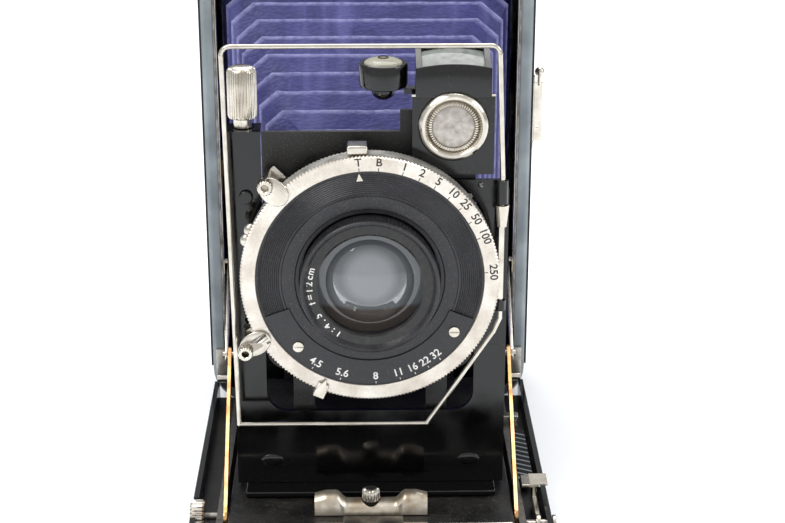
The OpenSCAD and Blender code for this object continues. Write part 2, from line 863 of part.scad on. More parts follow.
// small nickel clamp over the top of the rim
module rim_clamp() {
  color([0.85, 0.83, 0.8])
    translate([-3.2 - 2.8, ring_y + 1.6, lens_z + ring_d / 2 - 0.4]) cube([5.6, 6, 2.6]);
}

module lens_barrel() {
  color([0.12, 0.12, 0.13])
    difference() {
      union() {
        along_y(barrel_d / 2, ring_y - 5.3, ring_y - 1.1);
        along_y(barrel_d / 2 - 0.4, ring_y - 1.2, board_y - 6.9);
      }
      along_y(glass_d / 2, ring_y - 6, board_y);
      // dished front
      along_y(barrel_d / 2 - 1.1, ring_y - 6, ring_y - 3.4);
    }
}

module retaining_ring() {
  color([0.07, 0.07, 0.08])
    ring_y_axis(barrel_d / 2 - 1.15, glass_d / 2 - 0.6, ring_y - 3.9, ring_y - 3.4);
}

// front and rear groups of the lens
module lens_elements() {
  color([0.6, 0.65, 0.7, 0.5]) {
    along_y(glass_d / 2 - 0.05, ring_y - 3.3, ring_y + 0.5);
    along_y(13.45, board_y + 4.5, board_y + 8);
  }
}

module rear_cell() {
  color([0.1, 0.1, 0.11])
    difference() {
      along_y(16.3, board_y - 5.8, board_y + 9);
      along_y(13.5, board_y - 7, board_y + 10);
    }
}

module iris_blades() {
  color([0.2, 0.2, 0.22])
    ring_y_axis(24.5, 13.2, board_y - 6.8, board_y - 6.3);
}

module shutter_blades() {
  color([0.25, 0.25, 0.27])
    for (i = [0:4])
      sector(16, 0.3, i * 72 + 0.4, i * 72 + 71.6, board_y - 6, board_y - 5.85);
}

// ---- levers of the shutter ----

lever_arm_y = board_y - 1.9;
lever_arm_t = 1.2;
lever_post_r = 39.4;
lever_cup_r = 1.9;

// arm behind the rim, post past it, knurled cup and a thin ear in front
module shutter_lever(angle) {
  p = polar(lever_post_r, angle);
  translate([0, 0, lens_z])
    rotate([0, angle, 0]) {
      translate([-2.6, lever_arm_y - lever_arm_t, case_r + 0.3]) cube([5.2, lever_arm_t, lever_post_r - case_r - 0.3]);
    }
  along_y(1.1, ring_y - 1.4, lever_arm_y, p[0], lens_z + p[1]);
  difference() {
    along_y(lever_cup_r, ring_y - 4.6, ring_y - 0.6, p[0], lens_z + p[1]);
    along_y(1, ring_y - 5, ring_y - 2, p[0], lens_z + p[1]);
  }
  translate([0, 0, lens_z])
    rotate([0, angle, 0])
      translate([-1.6, ring_y - 1.2, lever_post_r - 7]) cube([3.2, 0.8, 6.5]);
}

cocking_angle = -44.7;
release_angle = -119.8;

module cocking_lever() {
  color([0.85, 0.83, 0.8]) shutter_lever(cocking_angle);
}

module release_lever() {
  color([0.85, 0.83, 0.8]) shutter_lever(release_angle);
}

module aperture_lever() {
  color([0.85, 0.83, 0.8])
    translate([0, 0, lens_z])
      rotate([0, -157, 0]) {
        translate([-1.6, lever_arm_y - lever_arm_t, case_r + 0.3]) cube([3.2, lever_arm_t, 7.7]);
        translate([-1.6, ring_y - 0.6, ring_d / 2 + 0.4]) cube([3.2, lever_arm_y - ring_y + 0.6, 1.4]);
        translate([-1.6, ring_y - 1, ring_d / 2 - 2.6]) cube([3.2, 0.7, 4.4]);
      }
}

// ---- finders ----

bracket_low = lens_z + 20.5;
bracket_h = 6.6;

// sleeve and plate that hold the wire frame beside the shutter, and a lower lug
module wire_bracket() {
  plate_back = board_y - slide_gap;
  lug_low = lens_z - 10.5;
  color([0.07, 0.07, 0.08])
    difference() {
      union() {
        // upper bearing
        translate([wire_axis_x, wire_y, bracket_low]) cylinder(r = 1.5, h = bracket_h);
        translate([wire_axis_x - 0.8, wire_y + 0.9, bracket_low]) cube([1.6, plate_back - wire_y - 1, bracket_h - 2]);
        translate([23, plate_back - 1.2, bracket_low - 2]) cube([wire_axis_x - 22.2, 1.2, bracket_h]);
        translate([23, plate_back - 0.05, bracket_low - 2]) cube([board_w / 2 - 23.1, slide_gap + 0.05, bracket_h]);
        // lower bearing
        translate([wire_axis_x, wire_y, lug_low]) cylinder(r = 1.5, h = 3);
        translate([wire_axis_x - 0.8, wire_y + 0.9, lug_low]) cube([1.6, plate_back - wire_y - 1, 3]);
        translate([case_r + 0.6, plate_back - 1.2, lens_z - 24]) cube([wire_axis_x - case_r + 0.2, 1.2, 16.5]);
        translate([25.5, plate_back - 1.2, lens_z - 24]) cube([8, 1.2, 4.5]);
        translate([25.5, plate_back - 0.05, lens_z - 24]) cube([board_w / 2 - 25.6, slide_gap + 0.05, 4.5]);
      }
      translate([wire_axis_x, wire_y, lens_z - 12]) cylinder(r = wire_d / 2 + run_gap, h = 50);
      along_y(case_r + 0.3, ring_y, board_y + 1);
    }
}

module wire_piece(from, to) {
  way = [to[0] - from[0], to[1] - from[1]];
  wire_joint(from);
  translate([from[0], wire_y, from[1]])
    rotate([0, 90 - atan2(way[1], way[0]), 0])
      cylinder(r = wire_d / 2, h = norm(way));
  wire_joint(to);
}

module wire_joint(at) {
  translate([at[0], wire_y, at[1]]) sphere(wire_d / 2 + 0.03);
}

wire_left_x = wire_axis_x - wire_w - 0.8;
// lean of the right side above its bearing
wire_lean = 1.4;
wire_slope = 1.7;
wire_cut = [16, wire_low];
wire_hook = [wire_axis_x - 1.7, lens_z - 17];

// wire frame: rounded top corners, a cut lower right corner, and the straight that it turns on
module wire_finder() {
  r = 2.4;
  top_x = wire_axis_x - wire_lean;
  straight_top = bracket_low + bracket_h + 1;
  color([0.85, 0.83, 0.8]) {
    wire_piece([wire_left_x, wire_top - r], [wire_left_x + wire_slope, wire_low]);
    wire_piece([wire_left_x + wire_slope, wire_low], wire_cut);
    wire_piece(wire_cut, wire_hook);
    wire_piece(wire_hook, [wire_axis_x, lens_z - 13]);
    wire_piece([wire_left_x + r, wire_top], [top_x - r, wire_top]);
    wire_piece([wire_axis_x, straight_top], [top_x, wire_top - r]);
    wire_turn(wire_left_x + r, 90, r);
    wire_turn(top_x - r, 0, r);
    translate([wire_axis_x, wire_y, lens_z - 13]) cylinder(r = wire_d / 2, h = straight_top - lens_z + 13);
    // flat stiffening rod and tapered sleeve between the bearings
    translate([wire_axis_x - 0.7, wire_y - 0.65, lens_z - 7]) cube([1.4, 1.3, 21]);
    translate([wire_axis_x, wire_y, lens_z + 14]) cylinder(r1 = 1.3, r2 = 1.9, h = 6.2);
  }
}

module wire_turn(x, start, r) {
  translate([x, wire_y, wire_top - r])
    rotate([90, 0, 0])
      rotate([0, 0, start])
        rotate_extrude(angle = 90) translate([r, 0]) circle(wire_d / 2);
}

finder_low = finder_z - 13.6;
finder_shelf = finder_z + 7.7;
finder_top = finder_z + 19.3;
// height of the front wall, from which the top slopes up to the back
finder_brow = finder_z + 15.6;

// box of the reflecting finder: the part above the shelf reaches back over the lens board's ear
module finder_body() {
  x0 = finder_x - finder_w / 2;
  front = finder_front_y;
  deep = finder_back_y - front;
  slope = atan2(finder_top - finder_brow, deep);
  color([0.05, 0.05, 0.06])
    difference() {
      union() {
        translate([x0, front, finder_low]) cube([finder_w, 1, finder_shelf + 0.9 - finder_low]);
        translate([x0 + 1, front + 1, finder_low + 1])
          cube([finder_w - 2, board_y - slide_gap - front - 1, finder_shelf - finder_low]);
        translate([x0 + 1, front, finder_shelf]) cube([finder_w - 2, deep, finder_top - finder_shelf]);
        // arm of the level
        translate([level_x + level_r - 1, level_y - 1.5, level_z - 5.6])
          cube([x0 - level_x - level_r + 3, 3, 1.6]);
        // stud through the lens board
        along_y(finder_pin_r, front + 0.5, board_y + sheet_t + 0.5, finder_pin_x, finder_pin_z);
      }
      // light box behind the lens and under the glass
      translate([x0 + 2.6, front + 1.6, finder_z - 2]) cube([finder_w - 5.2, 2, 14]);
      translate([x0 + 2.6, front + 1.6, finder_shelf + 1.4]) cube([finder_w - 5.2, deep - 3, 14]);
      along_y(7, front - 1, front + 2, finder_x, finder_z);
      // sloping top, and the clearance round the shutter's case
      translate([x0 - 1, front, finder_brow]) rotate([slope, 0, 0]) translate([0, -5, 0]) cube([finder_w + 2, 30, 12]);
      along_y(case_r + 0.8, front - 1, board_y + 1);
    }
}

module finder_bezel() {
  color([0.8, 0.78, 0.74])
    difference() {
      along_y(finder_bezel_d / 2, finder_front_y - 1.6, finder_front_y, finder_x, finder_z);
      along_y(6.9, finder_front_y - 0.9, finder_front_y + 1, finder_x, finder_z);
    }
}

module finder_glass() {
  x0 = finder_x - finder_w / 2;
  deep = finder_back_y - finder_front_y;
  slope = atan2(finder_top - finder_brow, deep);
  color([0.8, 0.85, 0.85, 0.5]) {
    translate([x0 + 2.65, finder_front_y, finder_brow])
      rotate([slope, 0, 0])
        translate([0, 1.85, -1.9]) cube([finder_w - 5.3, deep - 3.5, 1.7]);
    level_glass();
  }
}

module level_cup() {
  color([0.05, 0.05, 0.06])
    difference() {
      union() {
        translate([level_x, level_y, level_z - 4]) cylinder(r = level_r, h = 7);
        translate([level_x, level_y, level_z - 4]) intersection() {
          sphere(3.4);
          translate([-5, -5, -5]) cube([10, 10, 5]);
        }
      }
      translate([level_x, level_y, level_z - 2]) cylinder(r = level_r - 1.2, h = 6);
      translate([level_x + level_r - 1.1, level_y - 1.6, level_z - 5.7]) cube([3, 3.2, 1.8]);
    }
}

module level_glass() {
    translate([level_x, level_y, level_z - 1.98]) {
      cylinder(r = level_r - 1.25, h = 4.6);
      translate([0, 0, 4.6]) intersection() {
        translate([0, 0, -7.4]) sphere(8.9);
        cylinder(r = level_r - 1.4, h = 3);
      }
    }
}

body_side_walls();
body_end_walls();
body_front_rim();
body_back_frame();
leather_covering();
front_bezel();
bed_plate();
bed_rails();
bed_hinge();
strut_fittings();
strut_upper_links();
strut_lower_arms();
distance_scale();
bellows_rear();
tripod_bushes();
peep_sight_bracket();
back_rails();
ground_glass_frame();
ground_glass();
hood_cover();
peep_sight();
bed_release_button();
focus_carriage();
focus_rack();
distance_pointer();
bellows_front();
focus_knob();
pinion_shaft();
focus_lock_lever();
standard_base();
standard_frame();
pull_handle();
bellows_front_frame();
lock_button();
rise_knob();
rise_screw();
lens_board();
rise_lock_stud();
shutter_case();
knurled_rim();
face_plate();
aperture_scale_plate();
scale_screws();
rim_clamp();
lens_barrel();
retaining_ring();
lens_elements();
rear_cell();
iris_blades();
shutter_blades();
wire_bracket();
wire_finder();
finder_body();
finder_bezel();
finder_glass();
level_cup();
speed_ring();
aperture_lever();
cocking_lever();
release_lever();
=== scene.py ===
"""Folding plate camera: its looks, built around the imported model."""
import math

import bmesh
import bpy
from mathutils import Matrix, Vector, noise


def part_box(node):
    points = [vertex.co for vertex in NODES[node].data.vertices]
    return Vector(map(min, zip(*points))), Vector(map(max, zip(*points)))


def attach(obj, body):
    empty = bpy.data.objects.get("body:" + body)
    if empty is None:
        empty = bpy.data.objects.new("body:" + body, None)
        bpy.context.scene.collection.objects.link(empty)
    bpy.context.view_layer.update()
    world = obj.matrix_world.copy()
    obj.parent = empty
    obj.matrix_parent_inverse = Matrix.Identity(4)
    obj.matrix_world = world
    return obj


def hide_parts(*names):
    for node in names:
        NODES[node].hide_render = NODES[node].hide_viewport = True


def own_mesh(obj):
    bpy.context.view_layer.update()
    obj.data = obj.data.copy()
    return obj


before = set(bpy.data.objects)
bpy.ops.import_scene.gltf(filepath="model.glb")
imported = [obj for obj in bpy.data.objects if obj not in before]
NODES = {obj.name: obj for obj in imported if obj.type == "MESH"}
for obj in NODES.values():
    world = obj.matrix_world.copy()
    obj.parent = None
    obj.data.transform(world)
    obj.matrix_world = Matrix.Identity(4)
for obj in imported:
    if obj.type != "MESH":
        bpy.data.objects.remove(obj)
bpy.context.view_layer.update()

# ---------------------------------------------------------------- studio
# The camera looks down on the open bed from about half a metre away. A pale table, a bright sky
# and three soft lamps stand for a small light tent.


def hex_rgb(code):
    """sRGB hex code to a linear RGBA colour."""
    parts = [int(code[i : i + 2], 16) / 255 for i in (1, 3, 5)]
    linear = [c / 12.92 if c <= 0.04045 else ((c + 0.055) / 1.055) ** 2.4 for c in parts]
    return (*linear, 1.0)


def add_node(tree, kind, inputs=None, **settings):
    """Adds a shader node: settings are its properties, inputs its values or the sockets that feed it."""
    made = tree.nodes.new(kind)
    for key, value in settings.items():
        setattr(made, key, value)
    for key, value in (inputs or {}).items():
        if isinstance(value, bpy.types.NodeSocket):
            tree.links.new(value, made.inputs[key])
        else:
            made.inputs[key].default_value = value
    return made


def ramp(tree, value, low, high, start=0.0, end=1.0):
    """Takes low to high to a range, by default 0 to 1."""
    return add_node(tree, "ShaderNodeMapRange", {
        "Value": value, "From Min": low, "From Max": high, "To Min": start, "To Max": end}).outputs["Result"]


def box_mm(node):
    """Lowest and highest corner of a CAD node, in millimetres."""
    return [corner * 1000 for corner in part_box(node)]


ring_low, ring_high = box_mm("speed_ring")
LENS = Vector((0, ring_low.y, (ring_low.z + ring_high.z) / 2))
RING_R = (ring_high.x - ring_low.x) / 2

view = bpy.data.cameras.new("view")
view.sensor_width = 36
view.lens = 80.5
view.clip_start = 0.01
eye = bpy.data.objects.new("view", view)
eye.location = (-0.00205, LENS.y / 1000 - 0.4461, LENS.z / 1000 + 0.1722)
eye.rotation_euler = (math.radians(90 - 20.47), 0, math.radians(-1.054))
bpy.context.scene.collection.objects.link(eye)
bpy.context.scene.camera = eye
bpy.context.scene.view_settings.view_transform = "Standard"

world = bpy.data.worlds.new("studio")
world.use_nodes = True
tree = world.node_tree
way = add_node(tree, "ShaderNodeTexCoord").outputs["Generated"]
turned_way = add_node(tree, "ShaderNodeMapping", {"Vector": way, "Rotation": (math.radians(-35), 0, 0)})
height = add_node(tree, "ShaderNodeSeparateXYZ", {"Vector": turned_way.outputs["Vector"]})
sky = add_node(tree, "ShaderNodeValToRGB", {"Fac": ramp(tree, height.outputs["Z"], -0.7, 0.9)})
sky.color_ramp.elements[0].color = hex_rgb("#7b838a")
sky.color_ramp.elements[1].color = hex_rgb("#ffffff")
sky.color_ramp.elements[1].position = 0.75
tree.links.new(sky.outputs["Color"], tree.nodes["Background"].inputs["Color"])
tree.nodes["Background"].inputs["Strength"].default_value = 0.85
bpy.context.scene.world = world

for name, place, size, power in (
    ("key", (-0.55, -0.45, 0.95), 0.55, 6.5),
    ("fill", (0.9, -0.3, 0.6), 0.5, 3.0),
    ("top", (0.1, 0.35, 1.1), 0.9, 8.0),
):
    soft = bpy.data.lights.new(name, "AREA")
    soft.energy = power
    soft.size = size
    lamp = bpy.data.objects.new(name, soft)
    lamp.location = place
    lamp.rotation_euler = (Vector((0, -0.06, 0.08)) - Vector(place)).to_track_quat("-Z", "Y").to_euler()
    bpy.context.scene.collection.objects.link(lamp)

paper = bpy.data.materials.new("white_paper")
paper.use_nodes = True
paper.node_tree.nodes["Principled BSDF"].inputs["Base Color"].default_value = hex_rgb("#fbfdff")
paper.node_tree.nodes["Principled BSDF"].inputs["Roughness"].default_value = 0.9
bm = bmesh.new()
bmesh.ops.create_grid(bm, x_segments=1, y_segments=1, size=3)
sheet = bpy.data.meshes.new("floor")
bm.to_mesh(sheet)
bm.free()
floor = bpy.data.objects.new("floor", sheet)
floor.location.z = -0.0005
sheet.materials.append(paper)
bpy.context.scene.collection.objects.link(floor)

# ---------------------------------------------------------------- enamelled body
# Pressed metal body with black stoving enamel, its front edge rubbed down to grey metal. Walls, front
# rim and back frame are one pressing, so they are one piece here.

TO_METRES = Matrix.Scale(0.001, 4)
MIDDLE_Z = 76  # middle of the body's height
# local Z of a turned part points out of the lens, towards -Y
FORWARD = Matrix.Rotation(math.radians(90), 4, "X")


def new_material(name, colour, roughness, metallic=0.0, **uniform):
    """A material whose even values stand on the shader's own sockets."""
    material = bpy.data.materials.new(name)
    material.use_nodes = True
    tree = material.node_tree
    shader = tree.nodes["Principled BSDF"]
    shader.inputs["Base Color"].default_value = hex_rgb(colour)
    shader.inputs["Roughness"].default_value = roughness
    shader.inputs["Metallic"].default_value = metallic
    for key, value in uniform.items():
        shader.inputs[key.replace("_", " ")].default_value = value
    return material, tree, shader, add_node(tree, "ShaderNodeTexCoord").outputs["Object"]


def blotches(tree, vector, size_mm, low, high, detail=3.0):
    """Noise of a given size in millimetres, spread from 0 at low to 1 at high."""
    cloud = add_node(tree, "ShaderNodeTexNoise",
                     {"Vector": vector, "Scale": 1000 / size_mm, "Detail": detail})
    return ramp(tree, cloud.outputs["Fac"], low, high)


def mix_colours(tree, amount, first, second):
    """Mixes two colours, each a hex code or a socket."""
    pair = [hex_rgb(c) if isinstance(c, str) else c for c in (first, second)]
    return add_node(tree, "ShaderNodeMix", {0: amount, 6: pair[0], 7: pair[1]}, data_type="RGBA").outputs[2]


def spread(tree, amount, low, high):
    """Takes 0 to 1 to a range."""
    return ramp(tree, amount, 0, 1, low, high)


def tint(tree, shader, amount, first, second):
    """Colours a shader with a mix of two colours."""
    tree.links.new(mix_colours(tree, amount, first, second), shader.inputs["Base Color"])


def roughen(tree, shader, amount, low, high):
    """Varies a shader's roughness between two values."""
    tree.links.new(spread(tree, amount, low, high), shader.inputs["Roughness"])


def bumps(tree, shader, height, depth_mm, strength=1.0):
    """Relief of a given depth in millimetres."""
    made = add_node(tree, "ShaderNodeBump", {
        "Height": height, "Distance": depth_mm / 1000, "Strength": strength})
    tree.links.new(made.outputs["Normal"], shader.inputs["Normal"])
    return made


def make_piece(name, bm, body, material, replaces=(), move=Matrix(), smooth=48, weighted=False):
    """Turns a mesh in millimetres into a piece that rides on a body."""
    bmesh.ops.transform(bm, matrix=TO_METRES @ move, verts=bm.verts)
    mesh = bpy.data.meshes.new(name)
    bm.to_mesh(mesh)
    bm.free()
    mesh.materials.append(material)
    mesh.polygons.foreach_set("use_smooth", [True] * len(mesh.polygons))
    mesh.set_sharp_from_angle(angle=math.radians(smooth))
    piece = bpy.data.objects.new(name, mesh)
    bpy.context.scene.collection.objects.link(piece)
    if weighted:
        piece.modifiers.new("even_faces", "WEIGHTED_NORMAL").keep_sharp = True
    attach(piece, body)
    if replaces:
        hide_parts(*replaces)
    return piece


def sharp_edges(bm, degrees, test=None):
    """Edges that turn by more than an angle, and pass a test."""
    return [e for e in bm.edges if len(e.link_faces) == 2 and e.calc_face_angle(0) > math.radians(degrees)
            and (test is None or test(e))]


def round_over(bm, edges, width, segments=2):
    """Rounds edges over by a width in millimetres."""
    bmesh.ops.bevel(bm, geom=edges, offset=width, offset_type="OFFSET", segments=segments, profile=0.5,
                    affect="EDGES", clamp_overlap=True, material=-1)


def thicken(bm, depth):
    """Gives a sheet a thickness along Z, in millimetres."""
    made = bmesh.ops.extrude_face_region(bm, geom=bm.faces[:])
    moved = [g for g in made["geom"] if isinstance(g, bmesh.types.BMVert)]
    bmesh.ops.translate(bm, vec=(0, 0, depth), verts=moved)
    bmesh.ops.recalc_face_normals(bm, faces=bm.faces)


def block(size, width, segments=2, at=(0, 0, 0)):
    """A block of a given size in millimetres, with its edges rounded over."""
    bm = bmesh.new()
    bmesh.ops.create_cube(bm, size=1)
    bmesh.ops.scale(bm, vec=size, verts=bm.verts)
    bmesh.ops.translate(bm, vec=at, verts=bm.verts)
    round_over(bm, bm.edges[:], width, segments)
    return bm


def ball(size, around=24):
    """A ball squashed to a given half size, in millimetres."""
    bm = bmesh.new()
    bmesh.ops.create_uvsphere(bm, u_segments=around, v_segments=around // 2, radius=1)
    bmesh.ops.scale(bm, vec=size, verts=bm.verts)
    return bm


def cad_copy(*nodes):
    """CAD solids as one clean mesh in millimetres, with flat faces whole."""
    bm = bmesh.new()
    for node in nodes:
        bm.from_mesh(NODES[node].data)
    bmesh.ops.scale(bm, vec=(1000, 1000, 1000), verts=bm.verts)
    bmesh.ops.remove_doubles(bm, verts=bm.verts, dist=0.002)
    bmesh.ops.dissolve_limit(bm, angle_limit=math.radians(1), verts=bm.verts, edges=bm.edges)
    return bm


def softened(node, body, material, width=0.25, degrees=35, segments=2):
    """A CAD solid with its edges rounded over, as pressing, plating or paint leaves them."""
    bm = cad_copy(node)
    round_over(bm, sharp_edges(bm, degrees), width, segments)
    return make_piece("soft_" + node, bm, body, material, (node,), weighted=True)


def rounded_loop(bm, x0, x1, z0, z1, radius, y):
    """Points of an upright rectangle with rounded corners, at one depth, in order round its middle."""
    corners = [bm.verts.new((x, y, z)) for x, z in ((x0, z0), (x1, z0), (x1, z1), (x0, z1))]
    bm.faces.new(corners)
    bmesh.ops.bevel(bm, geom=corners, offset=radius, offset_type="OFFSET", segments=9, profile=0.5,
                    affect="VERTICES", clamp_overlap=False, material=-1)
    loop = {v for f in bm.faces for v in f.verts}
    bmesh.ops.delete(bm, geom=bm.faces[:], context="FACES_ONLY")
    return sorted(loop, key=lambda v: math.atan2(v.co.z - MIDDLE_Z, v.co.x))


# stoved enamel: deep gloss, a faint orange peel of about 2 mm, and settled dust and rubbed spots
black_enamel, tree, shader, place = new_material("black_stoved_enamel", "#08080a", 0.16)
dust = blotches(tree, place, 0.5, 0.6, 0.74, 5)
patch = blotches(tree, place, 14, 0.42, 0.66)
both = add_node(tree, "ShaderNodeMath", {0: dust, 1: patch}, operation="MULTIPLY").outputs[0]
tint(tree, shader, spread(tree, both, 0, 0.55), "#070709", "#5d5a55")
roughen(tree, shader, patch, 0.1, 0.3)
bumps(tree, shader, blotches(tree, place, 2.0, 0.2, 0.8), 0.012, 0.6)

# the same enamel worn off the rim: dull grey metal with a thin blue cast
rubbed_edge, tree, shader, place = new_material("rubbed_grey_metal", "#7f868a", 0.36, 0.55)
worn = blotches(tree, place, 12, 0.3, 0.75, 3)
tint(tree, shader, worn, "#8d9598", "#6f777c")
roughen(tree, shader, worn, 0.28, 0.5)

rim_low, rim_high = box_mm("body_front_rim")
back_low, back_high = box_mm("body_back_frame")
bm = bmesh.new()
WALL = 2.5
OPEN_X, OPEN_LOW, OPEN_TOP = rim_high.x - 4, 3.2, rim_high.z - 5
outside = (rim_low.x, rim_high.x, 0, rim_high.z, 12)
inside = (rim_low.x + WALL, rim_high.x - WALL, WALL, rim_high.z - WALL, 9.5)
mouth = (-OPEN_X, OPEN_X, OPEN_LOW, OPEN_TOP, 8)
plate = (-46, 46, rim_high.z / 2 - 61, rim_high.z / 2 + 61, 2)
loops = [rounded_loop(bm, *shape, y) for shape, y in (
    (mouth, rim_low.y), (outside, rim_low.y), (outside, back_high.y), (plate, back_high.y),
    (plate, back_low.y), (inside, back_low.y), (inside, rim_high.y), (mouth, rim_high.y))]
for near, far in zip(loops, loops[1:] + loops[:1]):
    for k in range(len(near)):
        bm.faces.new((near[k - 1], near[k], far[k], far[k - 1]))
bmesh.ops.recalc_face_normals(bm, faces=bm.faces)


def round_the_front(edge):
    """Whether an edge lies on the front face, outside the mouth."""
    points = [v.co for v in edge.verts]
    return all(abs(p.y - rim_low.y) < 0.01 for p in points) and (
        max(abs(p.x) for p in points) > OPEN_X + 0.2
        or all(p.z > OPEN_TOP + 0.2 or p.z < OPEN_LOW - 0.2 for p in points))


round_over(bm, sharp_edges(bm, 40, round_the_front), 1.6, 4)
round_over(bm, sharp_edges(bm, 60), 0.25, 2)
shell = make_piece("enamelled_shell", bm, "body", black_enamel,
                   ("body_side_walls", "body_end_walls", "body_front_rim", "body_back_frame"),
                   weighted=True)
shell.data.materials.append(rubbed_edge)
for face in shell.data.polygons:
    face.material_index = int(face.center.y * 1000 < rim_low.y + 1.7 and face.normal.y < -0.15)

# ---------------------------------------------------------------- leather and trim of the body
# Black morocco leather glued round the walls, with a pebbled grain of about 1 mm. The nickel line in
# the front opening and the hinge blocks are plated brass, polished and a little yellow with age.

black_leather, tree, shader, place = new_material("black_morocco_leather", "#131316", 0.5)
pebble = add_node(tree, "ShaderNodeTexVoronoi", {"Vector": place, "Scale": 1000 / 1.1})
crease = ramp(tree, pebble.outputs["Distance"], 0.1, 0.75, 1, 0)
tint(tree, shader, crease, "#08080a", "#1d1d21")
roughen(tree, shader, blotches(tree, place, 9, 0.3, 0.7), 0.42, 0.62)
bumps(tree, shader, crease, 0.16, 0.8)

# bright nickel plate: slightly warm, with a haze of fine rubbing and small dull spots
nickel, tree, shader, place = new_material("bright_nickel_plate", "#cdc7bb", 0.2, 1.0)
haze = blotches(tree, place, 3.5, 0.35, 0.75, 6)
spots = blotches(tree, place, 0.45, 0.66, 0.74, 2)
base = mix_colours(tree, haze, "#d3cec4", "#bcb4a7")
tint(tree, shader, spread(tree, spots, 0, 0.25), base, "#857a69")
roughen(tree, shader, haze, 0.14, 0.28)

# old nickel on sliding parts: greyer, matt from handling, with brown stains in patches
worn_nickel, tree, shader, place = new_material("worn_nickel_plate", "#8d8a84", 0.4, 1.0)
stain = blotches(tree, place, 4, 0.4, 0.72, 6)
tint(tree, shader, stain, "#8f8d88", "#57514a")
roughen(tree, shader, stain, 0.3, 0.55)


def dress(material, *nodes):
    """Gives CAD solids whose shape is right their finish."""
    for node in nodes:
        for slot in NODES[node].material_slots:
            slot.material = material


STRIP, STRIP_Z = (1.1, 1.2, 122), 82  # guide strips: their size and the height of their middle
softened("leather_covering", "body", black_leather, 0.25)
softened("front_bezel", "body", worn_nickel, 0.1)
softened("bed_hinge", "body", nickel, 0.5, segments=3)
softened("strut_fittings", "body", nickel, 0.35, segments=3)
for side, hand in ((-1, "left"), (1, "right")):
    bm = block(STRIP, 0.3, 3, (side * (OPEN_X - 0.6), rim_low.y + 0.9, STRIP_Z))
    make_piece(f"guide_strip_{hand}", bm, "body", nickel, weighted=True)
softened("back_rails", "body", worn_nickel, 0.2)
softened("peep_sight_bracket", "body", nickel, 0.15)
softened("peep_sight", "peep", nickel, 0.15)

# turned brass, bright inside the tripod sockets and on the rack
brass, tree, shader, place = new_material("turned_brass", "#b99a58", 0.28, 1.0)
lathe = add_node(tree, "ShaderNodeTexWave", {"Vector": place, "Scale": 1500, "Distortion": 1.5},
                 bands_direction="Z")
tint(tree, shader, lathe.outputs["Fac"], "#c4a663", "#a5884a")
dress(brass, "tripod_bushes", "focus_rack")
softened("bed_release_button", "bed_button", black_leather, 0.4, segments=3)

# ---------------------------------------------------------------- back of the camera
# A sliding focusing back: an enamelled frame with finely ground glass, under a hinged leather-covered lid.

softened("ground_glass_frame", "body", black_enamel, 0.3)
ground_glass, tree, shader, place = new_material("ground_glass", "#dfe4e0", 0.55, Transmission_Weight=0.75,
                                                 IOR=1.5)
bumps(tree, shader, blotches(tree, place, 0.12, 0.3, 0.7), 0.01, 0.5)
dress(ground_glass, "ground_glass")
softened("hood_cover", "hood", black_leather, 0.35, segments=3)

# ---------------------------------------------------------------- bed
# Drop bed of pressed metal with turned-up edges, enamelled black and gone matt and dusty inside. Its
# outside is leather like the body's. The rails are nickelled steel rubbed grey by the carriage.

matt_black, tree, shader, place = new_material("dusty_matt_enamel", "#1b1b1d", 0.5)
film = blotches(tree, place, 11, 0.3, 0.72, 6)
grit = blotches(tree, place, 0.4, 0.58, 0.7, 3)
base = mix_colours(tree, film, "#0b0b0d", "#1b1a18")
tint(tree, shader, spread(tree, grit, 0, 0.45), base, "#6f6a60")
roughen(tree, shader, film, 0.3, 0.62)
bumps(tree, shader, grit, 0.02, 0.4)

bm = cad_copy("bed_plate")
round_over(bm, sharp_edges(bm, 35), 0.4, 3)
bed = make_piece("drop_bed", bm, "body", matt_black, ("bed_plate",), weighted=True)
bed.data.materials.append(black_leather)
bed.data.materials.append(black_enamel)
bed_low = box_mm("bed_plate")[0]
for face in bed.data.polygons:
    rim = face.center.z * 1000 > bed_low.z + 2.5
    face.material_index = 1 if face.normal.z < -0.5 or face.normal.y < -0.9 and not rim else 2 if rim else 0
softened("bed_rails", "body", worn_nickel, 0.25)

# copper-coloured brass, bare and polished, with darker lacquer left in places
brass_arm, tree, shader, place = new_material("bare_brass_strip", "#d9a671", 0.26, 1.0)
old = blotches(tree, place, 6, 0.4, 0.75, 5)
tint(tree, shader, old, "#e3b27c", "#a8703f")
roughen(tree, shader, old, 0.18, 0.4)
softened("strut_upper_links", "body", nickel, 0.2)
softened("strut_lower_arms", "body", brass_arm, 0.2)

# distance scale: a blackened brass strip with fine slanted lines cut through to the bright metal
blackened_brass, tree, shader, place = new_material("blackened_brass", "#1a1a1b", 0.35, 0.7)
slant = add_node(tree, "ShaderNodeMapping", {"Vector": place, "Rotation": (0, 0, math.radians(28))})
lines = add_node(tree, "ShaderNodeTexWave", {"Vector": slant.outputs["Vector"], "Scale": 115},
                 bands_direction="Y")
cut = ramp(tree, lines.outputs["Fac"], 0.86, 0.95)
tint(tree, shader, cut, "#141415", "#a9b3bb")
softened("distance_scale", "body", blackened_brass, 0.1)
softened("distance_pointer", "carriage", nickel, 0.15)
